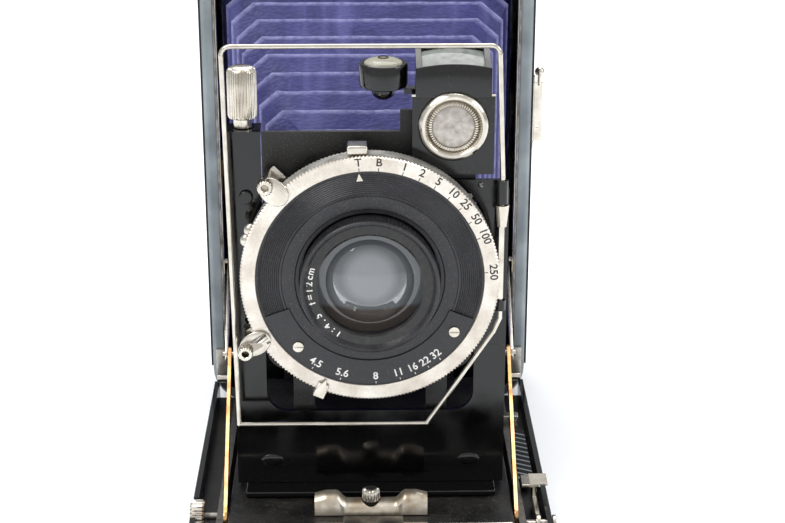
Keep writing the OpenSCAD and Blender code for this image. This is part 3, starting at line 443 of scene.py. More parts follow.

# ---------------------------------------------------------------- bellows
# Purple-dyed leather on card stiffeners, folded into pleats 9 mm apart whose corners are cut off at a slant.
# It tapers from the body to the lens standard. The ridges of its folds are paler in patches, partly rubbed
# and partly painted light, which leaves the hollows between them darker.

purple_leather, tree, shader, place = new_material("purple_bellows_leather", "#6b6c9c", 0.5,
                                                   Specular_IOR_Level=0.35)
fold = add_node(tree, "ShaderNodeAttribute", attribute_name="fold").outputs["Fac"]
shade = blotches(tree, place, 7, 0.3, 0.7, 4)
wrinkle = add_node(tree, "ShaderNodeTexVoronoi", {"Vector": add_node(tree, "ShaderNodeMapping", {
    "Vector": place, "Scale": (0.6, 1.6, 1)}).outputs["Vector"], "Scale": 1000 / 0.9}, feature="SMOOTH_F1")
grain = ramp(tree, wrinkle.outputs["Distance"], 0, 0.8)
base = mix_colours(tree, shade, "#3b3b79", "#2f2f68")
base = mix_colours(tree, spread(tree, grain, 0, 0.6), base, "#1d1d45")
bands = add_node(tree, "ShaderNodeMapping", {"Vector": place, "Scale": (1, 0.08, 0.08)}).outputs["Vector"]
base = mix_colours(tree, spread(tree, blotches(tree, bands, 8, 0.5, 0.68), 0, 0.35), base, "#6b6ca4")
# fold ridges paler in patches: partly rubbing, partly painted light that leaves the hollows darker
edge = ramp(tree, fold, 0.8, 1)
rubbed_and_lit_ridges = add_node(tree, "ShaderNodeMath", {
    0: edge, 1: spread(tree, blotches(tree, place, 2.2, 0.3, 0.65), 0.35,
                       0.95)}, operation="MULTIPLY").outputs[0]
tint(tree, shader, rubbed_and_lit_ridges, base, "#8a8bb8")
roughen(tree, shader, grain, 0.42, 0.6)
bumps(tree, shader, grain, 0.14, 0.8)

FOLD_DEPTH = 3.6
REAR_LIFT = 2  # the pleats' underside stands this far above the CAD tube's


def octagon(bm, half_w, z0, z1, y, cut_x, cut_z):
    """Edges of an upright rectangle with slanting corners, at one depth, its sides cut into short lengths."""
    corners = []
    for x, z, dx, dz in ((-half_w, z0, 1, 1), (half_w, z0, -1, 1), (half_w, z1, -1, -1),
                         (-half_w, z1, 1, -1)):
        pair = [(x, z + dz * cut_z), (x + dx * cut_x, z)]
        corners += pair if dx * dz > 0 else pair[::-1]
    verts = [bm.verts.new((x, y, z)) for x, z in corners]
    edges = [bm.edges.new(pair) for pair in zip(verts, verts[1:] + verts[:1])]
    made = bmesh.ops.subdivide_edges(bm, edges=[e for e in edges if e.calc_length() > 25], cuts=14)
    parts = [g for g in made["geom"] if isinstance(g, bmesh.types.BMEdge)]
    return list({e for e in edges + parts if e.is_valid})


def pleated(name, body, node, back, front, back_y, front_y, pleats):
    """A pleated tube between two sizes, each (half width, low, high)."""
    bm = bmesh.new()
    depth = bm.verts.layers.float.new("fold")
    loops = []
    for k in range(2 * pleats + 1):
        share = k / (2 * pleats)
        half_w, z0, z1 = [a + (b - a) * share for a, b in zip(back, front)]
        y = back_y + (front_y - back_y) * share
        valley = k % 2
        inset = FOLD_DEPTH * valley
        cut = (7.5 + 1.5 * valley) * (1 - 0.45 * share)
        loops.append(octagon(bm, half_w - inset, z0 + inset, z1 - inset, y, cut, cut * 0.85))
        for vert in {v for e in loops[-1] for v in e.verts}:
            vert[depth] = 1.0 - valley
    for near, far in zip(loops, loops[1:]):
        bmesh.ops.bridge_loops(bm, edges=near + far)
    bmesh.ops.recalc_face_normals(bm, faces=bm.faces)
    bmesh.ops.subdivide_edges(bm, edges=[e for e in bm.edges if abs(e.verts[0].co.y - e.verts[1].co.y) > 2],
                              cuts=4, use_grid_fill=True)
    for vert in bm.verts:
        sag = noise.noise(vert.co * 0.11) * 0.6 + noise.noise(vert.co * 0.4) * 0.3
        along = min(abs(vert.co.y - back_y), abs(vert.co.y - front_y))
        vert.co.y += sag * min(1, along / 3)
        lean = Vector((vert.co.x, 0, vert.co.z - MIDDLE_Z)).normalized()
        vert.co += lean * noise.noise(vert.co * 0.35 + Vector((9, 3, 5))) * 0.45 * (1 - 0.5 * vert[depth])
    piece = make_piece(name, bm, body, purple_leather, (node,), smooth=28)
    wall = piece.modifiers.new("leather", "SOLIDIFY")
    wall.thickness = 0.0005
    wall.offset = -1
    return piece


rear_low, rear_high = box_mm("bellows_rear")
fore_low, fore_high = box_mm("bellows_front")
frame_high = box_mm("bellows_front_frame")[1]
wide = (rear_high.x, rear_low.z + REAR_LIFT, rear_high.z)
narrow = (frame_high.x - 1, LENS.z - 30, frame_high.z - 1)
rear = pleated("bellows_rear_pleats", "body", "bellows_rear", wide, wide, rear_high.y, rear_low.y, 2)
fore = pleated("bellows_front_pleats", "carriage", "bellows_front", wide, narrow, fore_high.y, fore_low.y, 10)
# closed, the folds lie thinner here than real leather would
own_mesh(rear)
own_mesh(fore)
softened("bellows_front_frame", "standard", matt_black, 0.2)

# ---------------------------------------------------------------- carriage and its drive
# A flat enamelled plate that the rack and pinion move along the bed, with a shallow panel pressed into
# it and a bare nickel front edge. The knurled knob, lock tab and lever are nickelled brass.

carriage_low, carriage_high = box_mm("focus_carriage")
bm = cad_copy("focus_carriage")
top_face = max(bm.faces, key=lambda f: f.calc_area() * f.normal.z)
bmesh.ops.inset_region(bm, faces=[top_face], thickness=9, depth=0)
bmesh.ops.inset_region(bm, faces=[top_face], thickness=0.8, depth=-0.35)
round_over(bm, sharp_edges(bm, 50), 0.3, 2)
make_piece("focusing_carriage", bm, "carriage", matt_black, ("focus_carriage",), weighted=True)

# pale strip of bare plated metal along the carriage's front edge, with a grey tongue in its middle
bm = block((carriage_high.x * 2 - 1, 1.2, 1.2), 0.3, at=(0, carriage_low.y + 0.4, carriage_high.z - 0.4))
make_piece("carriage_front_strip", bm, "carriage", nickel, weighted=True)
bm = block((17, 5, 0.9), 0.35, at=(0.6, carriage_low.y + 1.2, carriage_high.z + 0.35))
make_piece("carriage_tongue", bm, "carriage", worn_nickel, weighted=True)
dress(worn_nickel, "pinion_shaft")


def spun(points, steps, closed=True):
    """Turns an outline of (radius, height) points about local Z, as a lathe does."""
    bm = bmesh.new()
    verts = [bm.verts.new((r, 0, h)) for r, h in points]
    pairs = zip(verts, verts[1:] + verts[:1]) if closed else zip(verts, verts[1:])
    edges = [bm.edges.new(pair) for pair in pairs]
    bmesh.ops.spin(bm, geom=verts + edges, cent=(0, 0, 0), axis=(0, 0, 1), angle=math.tau, steps=steps,
                   use_merge=True)
    bmesh.ops.remove_doubles(bm, verts=bm.verts, dist=0.0005)
    bmesh.ops.recalc_face_normals(bm, faces=bm.faces)
    return bm


def fluted(bm, steps, depth, keep=lambda v: True, run=2):
    """Cuts flutes: every other group of points round the axis goes inwards."""
    for vert in bm.verts:
        if (vert.co.x or vert.co.y) and keep(vert):
            index = round(math.atan2(vert.co.y, vert.co.x) / math.tau * steps) % steps
            if index % run < run / 2:
                radius = math.hypot(vert.co.x, vert.co.y)
                vert.co.x *= (radius - depth) / radius
                vert.co.y *= (radius - depth) / radius
    return bm


knob_low, knob_high = box_mm("focus_knob")
wide_r = (knob_high.z - knob_low.z) / 2
thick = knob_high.x - knob_low.x
bm = spun([(0, 0.1), (wide_r - 1.6, 0.1), (wide_r - 1.2, 0), (wide_r - 0.4, 0.1), (wide_r, 0.6),
           (wide_r, thick - 0.6),
           (wide_r - 0.4, thick - 0.1), (wide_r - 1.4, thick), (1.25, thick)], 96, closed=False)
fluted(bm, 96, 0.35, lambda v: math.hypot(v.co.x, v.co.y) > wide_r - 0.6, 4)
make_piece("knurled_focus_knob", bm, "focus_wheel", nickel, ("focus_knob",), smooth=30,
           move=Matrix.Translation(
    (knob_low.x, (knob_low.y + knob_high.y) / 2, (knob_low.z + knob_high.z) / 2)) @ Matrix.Rotation(
    math.radians(90), 4, "Y"))
softened("focus_lock_lever", "focus_lock", nickel, 0.2)
tab_low, tab_high = box_mm("focus_lock_lever")
bm = bmesh.new()
bmesh.ops.create_grid(bm, x_segments=1, y_segments=18, size=0.5)
bmesh.ops.scale(bm, vec=(5.2, 6.2, 1), verts=bm.verts)
for vert in bm.verts:
    vert.co.z = 0.5 * (round((vert.co.y + 3.1) / 6.2 * 18) % 2)
thicken(bm, -0.5)
make_piece("serrated_lock_tab", bm, "focus_lock", nickel, smooth=20,
           move=Matrix.Translation((tab_low.x + 5, tab_high.y - 3.3, tab_high.z + 0.1)))

# ---------------------------------------------------------------- lens standard
# U-shaped pressing in high-gloss black enamel on a flat foot. The bar in front is the pull handle:
# bright nickel with raised wings either side of a domed, serrated lock button.

gloss_black, tree, shader, place = new_material("gloss_black_lacquer", "#050506", 0.09)
specks = blotches(tree, place, 0.3, 0.66, 0.73, 3)
tint(tree, shader, spread(tree, specks, 0, 0.5), "#050506", "#6d6a66")
roughen(tree, shader, blotches(tree, place, 10, 0.35, 0.7), 0.06, 0.2)
bumps(tree, shader, blotches(tree, place, 5.0, 0.2, 0.8, 1), 0.02, 0.5)
# painted reflection: the front of the right upright, above the cross bar, gets a lighter, bluish and less
# glossy black that stands for light reflected there
painted_reflection_black, tree, shader, place = new_material("black_enamel_painted_reflection", "#15181b", 0.3)
tint(tree, shader, blotches(tree, place, 9, 0.3, 0.7), "#14171a", "#23282d")
standard = softened("standard_frame", "standard", gloss_black, 0.55, segments=3)
standard.data.materials.append(painted_reflection_black)
BAR_TOP = 36  # top of the cross bar between the uprights
for face in standard.data.polygons:
    face.material_index = int(face.center.z * 1000 > BAR_TOP and face.normal.y < -0.5 and face.center.x > 0)
softened("standard_base", "standard", gloss_black, 0.4, segments=3)
softened("rise_lock_stud", "standard", black_enamel, 0.35, segments=3)

# two shallow bosses pressed into the front of the foot
base_low = box_mm("standard_base")[0]
for side, hand in ((-1, "left"), (1, "right")):
    make_piece(f"foot_boss_{hand}", ball((3.2, 0.5, 1.9)), "standard", gloss_black,
               move=Matrix.Translation((side * 28.5, box_mm("standard_frame")[0].y, base_low.z + 9)))

handle_low, handle_high = box_mm("pull_handle")
handle_y = handle_low.y + 3
handled_nickel, tree, shader, place = new_material("handled_nickel_plate", "#cfc6b8", 0.34, 0.8)
tint(tree, shader, blotches(tree, place, 4, 0.35, 0.7, 4), "#d8d0c3", "#a8987f")
bm = bmesh.new()
bmesh.ops.create_grid(bm, x_segments=64, y_segments=12, size=0.5)
bmesh.ops.scale(bm, vec=(handle_high.x - handle_low.x, 6, 1), verts=bm.verts)
middle = [f for f in bm.faces if math.hypot(*f.calc_center_median()[:2]) < 2.7]
bmesh.ops.delete(bm, geom=middle, context="FACES")
for vert in bm.verts:
    radius = math.hypot(vert.co.x, vert.co.y)
    if vert.is_boundary and radius < 3.1 and abs(vert.co.y) < 2.9:
        vert.co.x, vert.co.y = vert.co.x * 2.72 / radius, vert.co.y * 2.72 / radius
for vert in bm.verts:
    across = abs(vert.co.x) / handle_high.x
    wing = min(1, max(0, (across - 0.42) / 0.2))
    wing = wing * wing * (3 - 2 * wing)
    vert.co.z = 3.7 + 2.5 * wing - 0.9 * max(0, across - 0.8) / 0.2 - 1.6 * (abs(vert.co.y) / 3) ** 2.5
skirt = bmesh.ops.extrude_face_region(bm, geom=bm.faces[:])
for vert in skirt["geom"]:
    if isinstance(vert, bmesh.types.BMVert):
        vert.co.z = 0.0
bmesh.ops.recalc_face_normals(bm, faces=bm.faces)
make_piece("pull_handle_bar", bm, "standard", handled_nickel, ("pull_handle",), smooth=50,
           move=Matrix.Translation((0, handle_y, handle_low.z)))
bm = spun([(0, 0.85), (0.9, 0.8), (1.7, 0.55), (2.4, 0.1), (2.55, -0.3), (2.55, -2.6), (0, -2.6)], 72,
          closed=False)
fluted(bm, 72, 0.3, lambda v: v.co.z > -1.5 and math.hypot(v.co.x, v.co.y) > 1.5, 4)
press_high = box_mm("lock_button")[1]
make_piece("lock_button_dome", bm, "lock_press", nickel, ("lock_button",), smooth=30, move=Matrix.Translation(
    (0, handle_y, press_high.z - 0.35)))

# fluted knob that raises the lens board, with its flutes carried over the domed end
rise_low, rise_high = box_mm("rise_knob")
screw_low, screw_high = box_mm("rise_screw")
tall = rise_high.z - rise_low.z
knob_r = (rise_high.x - rise_low.x) / 2
profile = [(1.25, 0), (2.5, 0), (2.5, 2.2), (knob_r - 1.2, 2.3), (knob_r - 0.3, 2.6), (knob_r, 3.2)]
profile += [(knob_r, 2.4 + (tall - 4.2) * share) for share in (0.3, 0.6, 1)]
profile += [(knob_r - 0.25, tall - 1.1), (knob_r - 0.9, tall - 0.5), (knob_r - 1.9, tall - 0.12), (0, tall)]
bm = fluted(spun(profile, 120, closed=False), 120, 0.32,
            lambda v: v.co.z > 2.5 and math.hypot(v.co.x, v.co.y) > knob_r - 1.5, 4)
make_piece("fluted_rise_knob", bm, "rise_drive", nickel, ("rise_knob",), smooth=30, move=Matrix.Translation(
    ((screw_low.x + screw_high.x) / 2, (screw_low.y + screw_high.y) / 2, rise_low.z)))
dress(worn_nickel, "rise_screw")

# ---------------------------------------------------------------- lens board
# Flat pressed board, enamelled and dulled by handling, that slides between the uprights.

softened("lens_board", "board", matt_black, 0.3)
softened("shutter_case", "board", black_enamel, 0.3)

# ---------------------------------------------------------------- shutter
# Rim-set leaf shutter. The speed ring is satin nickel with a finely cut edge and black-filled figures,
# over a diagonally knurled rim. The black face has turned grooves round a flat inner ring.

satin_nickel, tree, shader, place = new_material("satin_nickel_plate", "#ddd6cc", 0.38, 0.9)
cloud = blotches(tree, place, 6, 0.3, 0.75, 7)
fine = blotches(tree, place, 0.7, 0.4, 0.7, 4)
base = mix_colours(tree, cloud, "#e6e1d9", "#c9bfb2")
tint(tree, shader, spread(tree, fine, 0, 0.25), base, "#b3a898")
roughen(tree, shader, cloud, 0.32, 0.46)

FACE = Matrix.Translation(LENS) @ FORWARD
thick = ring_high.y - ring_low.y
RING_W = 4.3
bm = spun([(RING_R - RING_W, -0.15), (RING_R - RING_W + 0.15, 0), (RING_R - 0.35, 0), (RING_R, -0.3),
           (RING_R, -thick), (RING_R - RING_W, -thick)], 440)
fluted(bm, 440, 0.35, lambda v: math.hypot(v.co.x, v.co.y) > RING_R - 0.4, 2)
make_piece("speed_ring_cut_edge", bm, "speed", satin_nickel, ("speed_ring",), smooth=30, move=FACE)

black_fill, tree, shader, place = new_material("black_engraving_wax", "#161412", 0.5)
tint(tree, shader, blotches(tree, place, 0.6, 0.35, 0.7), "#0f0e0d", "#2e2a26")
white_fill, tree, shader, place = new_material("white_engraving_paint", "#f2f1ec", 0.5)
tint(tree, shader, blotches(tree, place, 0.8, 0.35, 0.75), "#f4f3ee", "#c4c3bf")


def figures(marks, size, radius, flip=False, relief=0.03):
    """Engraved figures set round the lens axis: (text, degrees clockwise from the top)."""
    bm = bmesh.new()
    for text, angle in marks:
        letters = bpy.data.curves.new("letters", "FONT")
        letters.body = text
        letters.size = size
        letters.align_x = "CENTER"
        letters.align_y = "CENTER"
        letters.offset = size * 0.018
        letters.extrude = relief / 2
        letters.resolution_u = 3
        holder = bpy.data.objects.new("letters", letters)
        flat = bpy.data.meshes.new_from_object(holder)
        turn = Matrix.Rotation(-math.radians(angle), 4, "Z") @ Matrix.Translation((0, radius, 0))
        if flip:
            turn = turn @ Matrix.Rotation(math.pi, 4, "Z")
        flat.transform(turn)
        bm.from_mesh(flat)
        bpy.data.objects.remove(holder)
        bpy.data.curves.remove(letters)
        bpy.data.meshes.remove(flat)
    return bm


def add_bar(bm, x, y, z, wide, long, thick, turn=0.0):
    """A small block at a place on the dial, turned clockwise about the axis."""
    made = bmesh.ops.create_cube(bm, size=1)
    bmesh.ops.scale(bm, vec=(wide, long, thick), verts=made["verts"])
    bmesh.ops.translate(bm, vec=(x, y, z), verts=made["verts"])
    bmesh.ops.rotate(bm, cent=(0, 0, 0), matrix=Matrix.Rotation(-math.radians(turn), 3, "Z"),
                     verts=made["verts"])


SPEEDS = (("T", -5), ("B", 4.4), ("1", 16.3), ("2", 24.8), ("5", 33.3), ("10", 42), ("25", 49.9),
          ("50", 58.5),
          ("100", 67.8), ("250", 86))
bm = figures(SPEEDS, 3.1, RING_R - 1.75)
for _, angle in SPEEDS:
    add_bar(bm, 0, RING_R - RING_W + 0.6, 0, 0.22, 0.95, 0.03, angle)
make_piece("speed_figures", bm, "speed", black_fill, smooth=30,
           move=FACE @ Matrix.Translation((0, 0, 0.015)))

# knurled rim: diamonds about 0.6 mm across, drawn a little coarse so that they show
knurl_grey, tree, shader, place = new_material("knurled_grey_nickel", "#a9a8a4", 0.5, 0.6)
tint(tree, shader, blotches(tree, place, 3, 0.35, 0.7, 5), "#b7b5b0", "#85837e")
rim_low, rim_high = box_mm("knurled_rim")
rim_r = (rim_high.x - rim_low.x) / 2
front = ring_low.y - rim_low.y
back = ring_low.y - rim_high.y
rows = [front - 0.25 - (front - back - 0.5) * i / 10 for i in range(11)]
KNURLS = 380
bm = spun([(30, front), (rim_r - 0.3, front)] + [(rim_r, h) for h in rows] + [(rim_r - 0.3, back),
                                                                              (30, back)], KNURLS)
for vert in bm.verts:
    radius = math.hypot(vert.co.x, vert.co.y)
    if radius > rim_r - 0.1:
        index = round(math.atan2(vert.co.y, vert.co.x) / math.tau * KNURLS) % KNURLS
        row = round((rows[0] - vert.co.z) / (rows[0] - rows[1]))
        drop = 0.26 if (index + row) % 2 else 0
        vert.co.x *= (radius - drop) / radius
        vert.co.y *= (radius - drop) / radius
make_piece("diamond_knurled_rim", bm, "board", knurl_grey, ("knurled_rim",), smooth=20, move=FACE)

# black face: satin oxide with dust; grooves 0.55 mm apart outside, flat within
satin_black, tree, shader, place = new_material("satin_black_oxide", "#232327", 0.36)
bloom = blotches(tree, place, 7, 0.35, 0.75, 6)
mote = blotches(tree, place, 0.35, 0.62, 0.7, 2)
base = mix_colours(tree, bloom, "#19191c", "#2c2c31")
tint(tree, shader, spread(tree, mote, 0, 0.4), base, "#77736b")
roughen(tree, shader, bloom, 0.28, 0.48)
face_low, face_high = box_mm("face_plate")
level = ring_low.y - face_low.y
outer = (face_high.x - face_low.x) / 2
barrel_low, barrel_high = box_mm("lens_barrel")
barrel_r = (barrel_high.x - barrel_low.x) / 2
inner = barrel_r + 0.3
GROOVE = 0.55
profile = [(outer, level - 0.9), (outer, level)]
radius = outer - 0.5
while radius > 24.6:
    profile += [(radius, level), (radius - GROOVE * 0.35, level - 0.16),
                (radius - GROOVE * 0.6, level - 0.16)]
    radius -= GROOVE
profile += [(24.3, level), (24.1, level - 0.12), (23.9, level), (inner + 1.2, level),
            (inner + 0.9, level - 0.2),
            (inner, level - 0.2), (inner, level - 0.9)]
bm = spun(profile, 144)
make_piece("turned_face", bm, "board", satin_black, ("face_plate",), smooth=25, move=FACE)

# two-humped end of the shutter's setting slide, showing beside the rim
for k, angle in enumerate((-71.5, -66.5)):
    bm = ball((1.5, 1.9, 1.4))
    turn = Matrix.Rotation(-math.radians(angle), 4, "Z")
    make_piece(f"setting_hump_{k}", bm, "board", nickel,
               move=FACE @ turn @ Matrix.Translation((0, RING_R - 0.1, -2.6)) @ Matrix.Rotation(math.pi / 2,
                                                                                                4, "Z"))

# index mark against which the speeds are set
bm = bmesh.new()
bmesh.ops.create_cone(bm, segments=3, radius1=1.25, radius2=1.05, depth=0.3, cap_ends=True)
bmesh.ops.scale(bm, vec=(1.0, 1.35, 1), verts=bm.verts)
bmesh.ops.translate(bm, vec=(0, RING_R - 6.2, level + 0.1), verts=bm.verts)
bmesh.ops.rotate(bm, cent=(0, 0, 0), matrix=Matrix.Rotation(math.radians(5.2), 3, "Z"), verts=bm.verts)
make_piece("speed_index", bm, "board", nickel, smooth=20, move=FACE)

# scale plate with its stops, fixed by two slotted screws
softened("aperture_scale_plate", "board", satin_black, 0.12)
plate_low = box_mm("aperture_scale_plate")[0]
lift = ring_low.y - plate_low.y
STOPS = (("4.5", 212), ("5.6", 196), ("8", 177), ("11", 164), ("16", 155.5), ("22", 147.7), ("32", 140.2))
bm = figures(STOPS, 3.0, 28.3, flip=True)
for _, angle in STOPS:
    add_bar(bm, 0, 30.2, 0, 0.2, 0.6, 0.03, angle)
make_piece("aperture_figures", bm, "board", white_fill, smooth=30,
           move=FACE @ Matrix.Translation((0, 0, lift + 0.015)))
softened("scale_screws", "board", nickel, 0.12)
softened("rim_clamp", "board", nickel, 0.6, segments=3)

# ---------------------------------------------------------------- lens
# Front cell of black-lacquered brass with a coarsely milled edge, ribbed inside against stray light,
# and a screwed retaining ring engraved in white. The glass is nearly opaque.

front_edge = ring_low.y - barrel_low.y
rear_edge = ring_low.y - barrel_high.y
glass_low, glass_high = box_mm("lens_elements")
glass_r = (glass_high.x - glass_low.x) / 2
profile = [(glass_r + 0.1, front_edge - 2), (glass_r + 1.6, front_edge - 2)]
steps = 4
for i in range(steps):
    radius = glass_r + 1.9 + (barrel_r - 1.1 - glass_r - 1.9) * i / steps
    height = front_edge - 1.9 + 1.7 * i / steps
    profile += [(radius, height), (radius + 0.25, height + 0.42)]
profile += [(barrel_r - 0.9, front_edge - 0.1), (barrel_r - 0.5, front_edge),
            (barrel_r - 0.15, front_edge - 0.25),
            (barrel_r, front_edge - 0.7), (barrel_r, front_edge - 4.1), (barrel_r - 0.4, front_edge - 4.3),
            (barrel_r - 0.4, rear_edge), (glass_r + 0.1, rear_edge)]
bm = spun(profile, 220)
fluted(bm, 220, 0.3, lambda v: v.co.z > front_edge - 4.2 and v.co.z < front_edge - 0.5
       and math.hypot(v.co.x, v.co.y) > barrel_r - 0.3, 2)
make_piece("milled_lens_barrel", bm, "board", satin_black, ("lens_barrel",), smooth=25,
           move=FACE)

gloss_ring, tree, shader, place = new_material("black_lacquered_brass", "#0a0a0c", 0.2)
tint(tree, shader, blotches(tree, place, 1.5, 0.45, 0.72, 5), "#0a0a0c", "#26241f")
holder_low, holder_high = box_mm("retaining_ring")
holder_r = (holder_high.x - holder_low.x) / 2
top = ring_low.y - holder_low.y
low = ring_low.y - holder_high.y
inner = glass_r - 0.6
bm = spun([(inner, low), (inner, top - 0.35), (inner + 0.5, top), (holder_r - 0.2, top),
           (holder_r, top - 0.2),
           (holder_r, low)], 144)
make_piece("engraved_ring", bm, "board", gloss_ring, ("retaining_ring",), smooth=30, move=FACE)
bm = bmesh.new()
for text, centre in (("1:4.5", 225), ("f=12cm", 269)):
    width = 6.6
    spot = [(c, centre + width * (i - (len(text) - 1) / 2)) for i, c in enumerate(text)]
    one = figures(spot, 2.7, holder_r - 1.5)
    temp = bpy.data.meshes.new("temp")
    one.to_mesh(temp)
    one.free()
    bm.from_mesh(temp)
    bpy.data.meshes.remove(temp)
make_piece("lens_figures", bm, "board", white_fill, smooth=30,
           move=FACE @ Matrix.Translation((0, 0, top + 0.015)))

# nearly opaque glass with painted reflections: its light upper part and dark lower part are a painted
# reflection, and its pale middle a painted highlight. They are coloured in here, not reflected, and the
# blades behind do not show through.
lens_glass, tree, shader, place = new_material("optical_glass", "#8d9093", 0.03, Transmission_Weight=0.12,
                                               IOR=1.6)
mote = blotches(tree, place, 0.3, 0.66, 0.72, 2)
upright = add_node(tree, "ShaderNodeSeparateXYZ", {"Vector": place}).outputs["Z"]
# painted reflection: light above a painted horizon a little below the lens axis, dark beneath it
painted_reflection_top = ramp(tree, upright, (LENS.z - 7.6) / 1000, (LENS.z - 6.4) / 1000)
# painted highlight: a paler disc over the middle of the glass
painted_highlight = add_node(tree, "ShaderNodeVectorMath", {
    0: place, 1: (LENS.x / 1000, LENS.y / 1000, (LENS.z + 2) / 1000)}, operation="DISTANCE").outputs["Value"]
painted_highlight = ramp(tree, painted_highlight, 0.0065, 0.0085, 1, 0)
tint(tree, shader, painted_reflection_top, "#4b4440", mix_colours(tree, painted_highlight, "#65696d", "#83878b"))
roughen(tree, shader, mote, 0.02, 0.3)
front = ring_low.y - glass_low.y
dome = [(glass_r * math.sin(a), front + 1.1 - 26 * (1 - math.cos(a * 0.62))) for a in
        [math.radians(90) * i / 14 for i in range(15)]]
bm = spun(dome + [(glass_r, front - 3.4), (glass_r * 0.6, front - 3.0), (0, front - 2.6)], 96, closed=False)
make_piece("front_glass", bm, "board", lens_glass, (), smooth=30, move=FACE)
rear = ring_low.y - glass_high.y
bm = spun([(0, rear + 3.4), (8, rear + 3.2), (13.3, rear + 2.5), (13.3, rear + 0.4), (8, rear + 0.1),
           (0, rear)], 96,
          closed=False)
make_piece("rear_glass", bm, "board", lens_glass, ("lens_elements",), smooth=30, move=FACE)

# shutter leaves behind the glass: thin blued steel that overlaps like a camera's iris
blued_steel, tree, shader, place = new_material("blued_steel", "#4e5057", 0.34, 0.9)
tint(tree, shader, blotches(tree, place, 5, 0.3, 0.7, 4), "#5d6068", "#3d3e45")
dress(blued_steel, "iris_blades", "shutter_blades")
dress(satin_black, "rear_cell")

# levers: arm behind the rim, a post past it and a hollow knurled cup to press
for node, body in (("cocking_lever", "cocking"), ("release_lever", "release")):
    bm = cad_copy(node)
    round_over(bm, sharp_edges(bm, 40), 0.15, 2)
    make_piece(node + "_arm", bm, body, nickel, (node,), smooth=40)
CUP_R, EAR_R = 39.4, 36.4  # from the lens axis to a cup and to its ear
for body, angle in (("cocking", -44.7), ("release", -119.8)):
    spot = CUP_R * Vector((math.sin(math.radians(angle)), math.cos(math.radians(angle)), 0))
    bm = spun([(0.95, 2.0), (0.95, 4.6), (1.1, 4.75), (1.75, 4.75), (2.05, 4.5), (2.15, 4.1), (2.15, 1.0),
               (1.9, 0.6),
               (0.95, 0.6)], 64)
    fluted(bm, 64, 0.2, lambda v: math.hypot(v.co.x, v.co.y) > 2.0, 4)
    make_piece(f"{body}_cup", bm, body, nickel, smooth=30,
               move=FACE @ Matrix.Translation(spot))
    # pressed ear that joins the cup to the ring's edge
    bm = bmesh.new()
    bmesh.ops.create_circle(bm, cap_ends=True, radius=3.4, segments=40)
    thicken(bm, 0.7)
    round_over(bm, sharp_edges(bm, 60), 0.2, 2)
    bmesh.ops.scale(bm, vec=(1.0, 1.35, 1), verts=bm.verts)
    inward = spot.normalized()
    turn = Matrix.Rotation(-math.radians(angle), 4, "Z")
    make_piece(f"{body}_ear", bm, body, nickel,
               move=FACE @ Matrix.Translation(inward * EAR_R + Vector((0, 0, 0.35))) @ turn)
softened("aperture_lever", "aperture", nickel, 0.2)

# aperture pointer: a small nickel arrow lying over the ring's edge
bm = bmesh.new()
bmesh.ops.create_cone(bm, segments=3, radius1=2.3, radius2=2.1, depth=0.5, cap_ends=True)
bmesh.ops.scale(bm, vec=(0.85, 1.15, 1), verts=bm.verts)
bmesh.ops.rotate(bm, cent=(0, 0, 0), matrix=Matrix.Rotation(math.pi, 3, "Z"), verts=bm.verts)
bmesh.ops.translate(bm, vec=(0, RING_R - 1.6, 1.0), verts=bm.verts)
bmesh.ops.rotate(bm, cent=(0, 0, 0), matrix=Matrix.Rotation(math.radians(157), 3, "Z"), verts=bm.verts)
make_piece("aperture_arrow", bm, "aperture", nickel, smooth=20, move=FACE)

# ---------------------------------------------------------------- wire finder
# Hinged frame of nickelled brass wire, in a black sleeve riveted to the board.

softened("wire_bracket", "board", black_enamel, 0.25)
bracket_high = box_mm("wire_bracket")[1]
for x, z in ((30.6, 104.6), (27.6, 101.4)):
    bm = ball((0.85, 0.51, 0.85), 20)
    make_piece(f"bracket_rivet_{x:.0f}", bm, "board", worn_nickel,
               move=Matrix.Translation((x, bracket_high.y - 1.5, z)))
dress(nickel, "wire_finder")

# ---------------------------------------------------------------- reflecting finder and level
# Small enamelled box with a domed glass under an arched hood. In front, a polished nickel bezel holds a
# knurled ring round a satin disc. A round spirit level sits on an arm at its side.

softened("finder_body", "finder", black_enamel, 0.35)
bezel_low, bezel_high = box_mm("finder_bezel")
bezel_r = (bezel_high.x - bezel_low.x) / 2
centre = Vector(((bezel_low.x + bezel_high.x) / 2, bezel_high.y, (bezel_low.z + bezel_high.z) / 2))
AT = Matrix.Translation(centre) @ FORWARD
bm = spun([(7.0, 0), (7.0, 0.5), (7.3, 1.25), (7.8, 1.75), (8.5, 1.8), (9.1, 1.35), (bezel_r, 0.5),
           (bezel_r, 0)], 96)
make_piece("finder_bezel_ring", bm, "finder", nickel, ("finder_bezel",), smooth=40, move=AT)
bm = spun([(5.7, 0.1), (5.7, 1.1), (5.9, 1.5), (6.6, 1.45), (7.05, 0.9), (7.05, 0.1)], 240)
for vert in bm.verts:
    turn = round(math.atan2(vert.co.y, vert.co.x) / math.tau * 240) % 240
    if turn % 4 < 2 and vert.co.z > 0.6:
        vert.co.z -= 0.55
make_piece("finder_knurled_ring", bm, "finder", nickel, smooth=30, move=AT)
satin_disc, tree, shader, place = new_material("brushed_satin_nickel", "#b8b3ad", 0.42, 0.85)
tint(tree, shader, blotches(tree, place, 1.6, 0.3, 0.7, 7), "#c3beb7", "#9d968e")
bumps(tree, shader, blotches(tree, place, 0.4, 0.3, 0.7, 4), 0.02, 0.35)
bm = spun([(0, 0.95), (3, 0.94), (5.3, 0.9), (5.75, 0.7), (5.75, 0.1), (0, 0.1)], 96, closed=False)
make_piece("finder_disc", bm, "finder", satin_disc, smooth=40, move=AT)

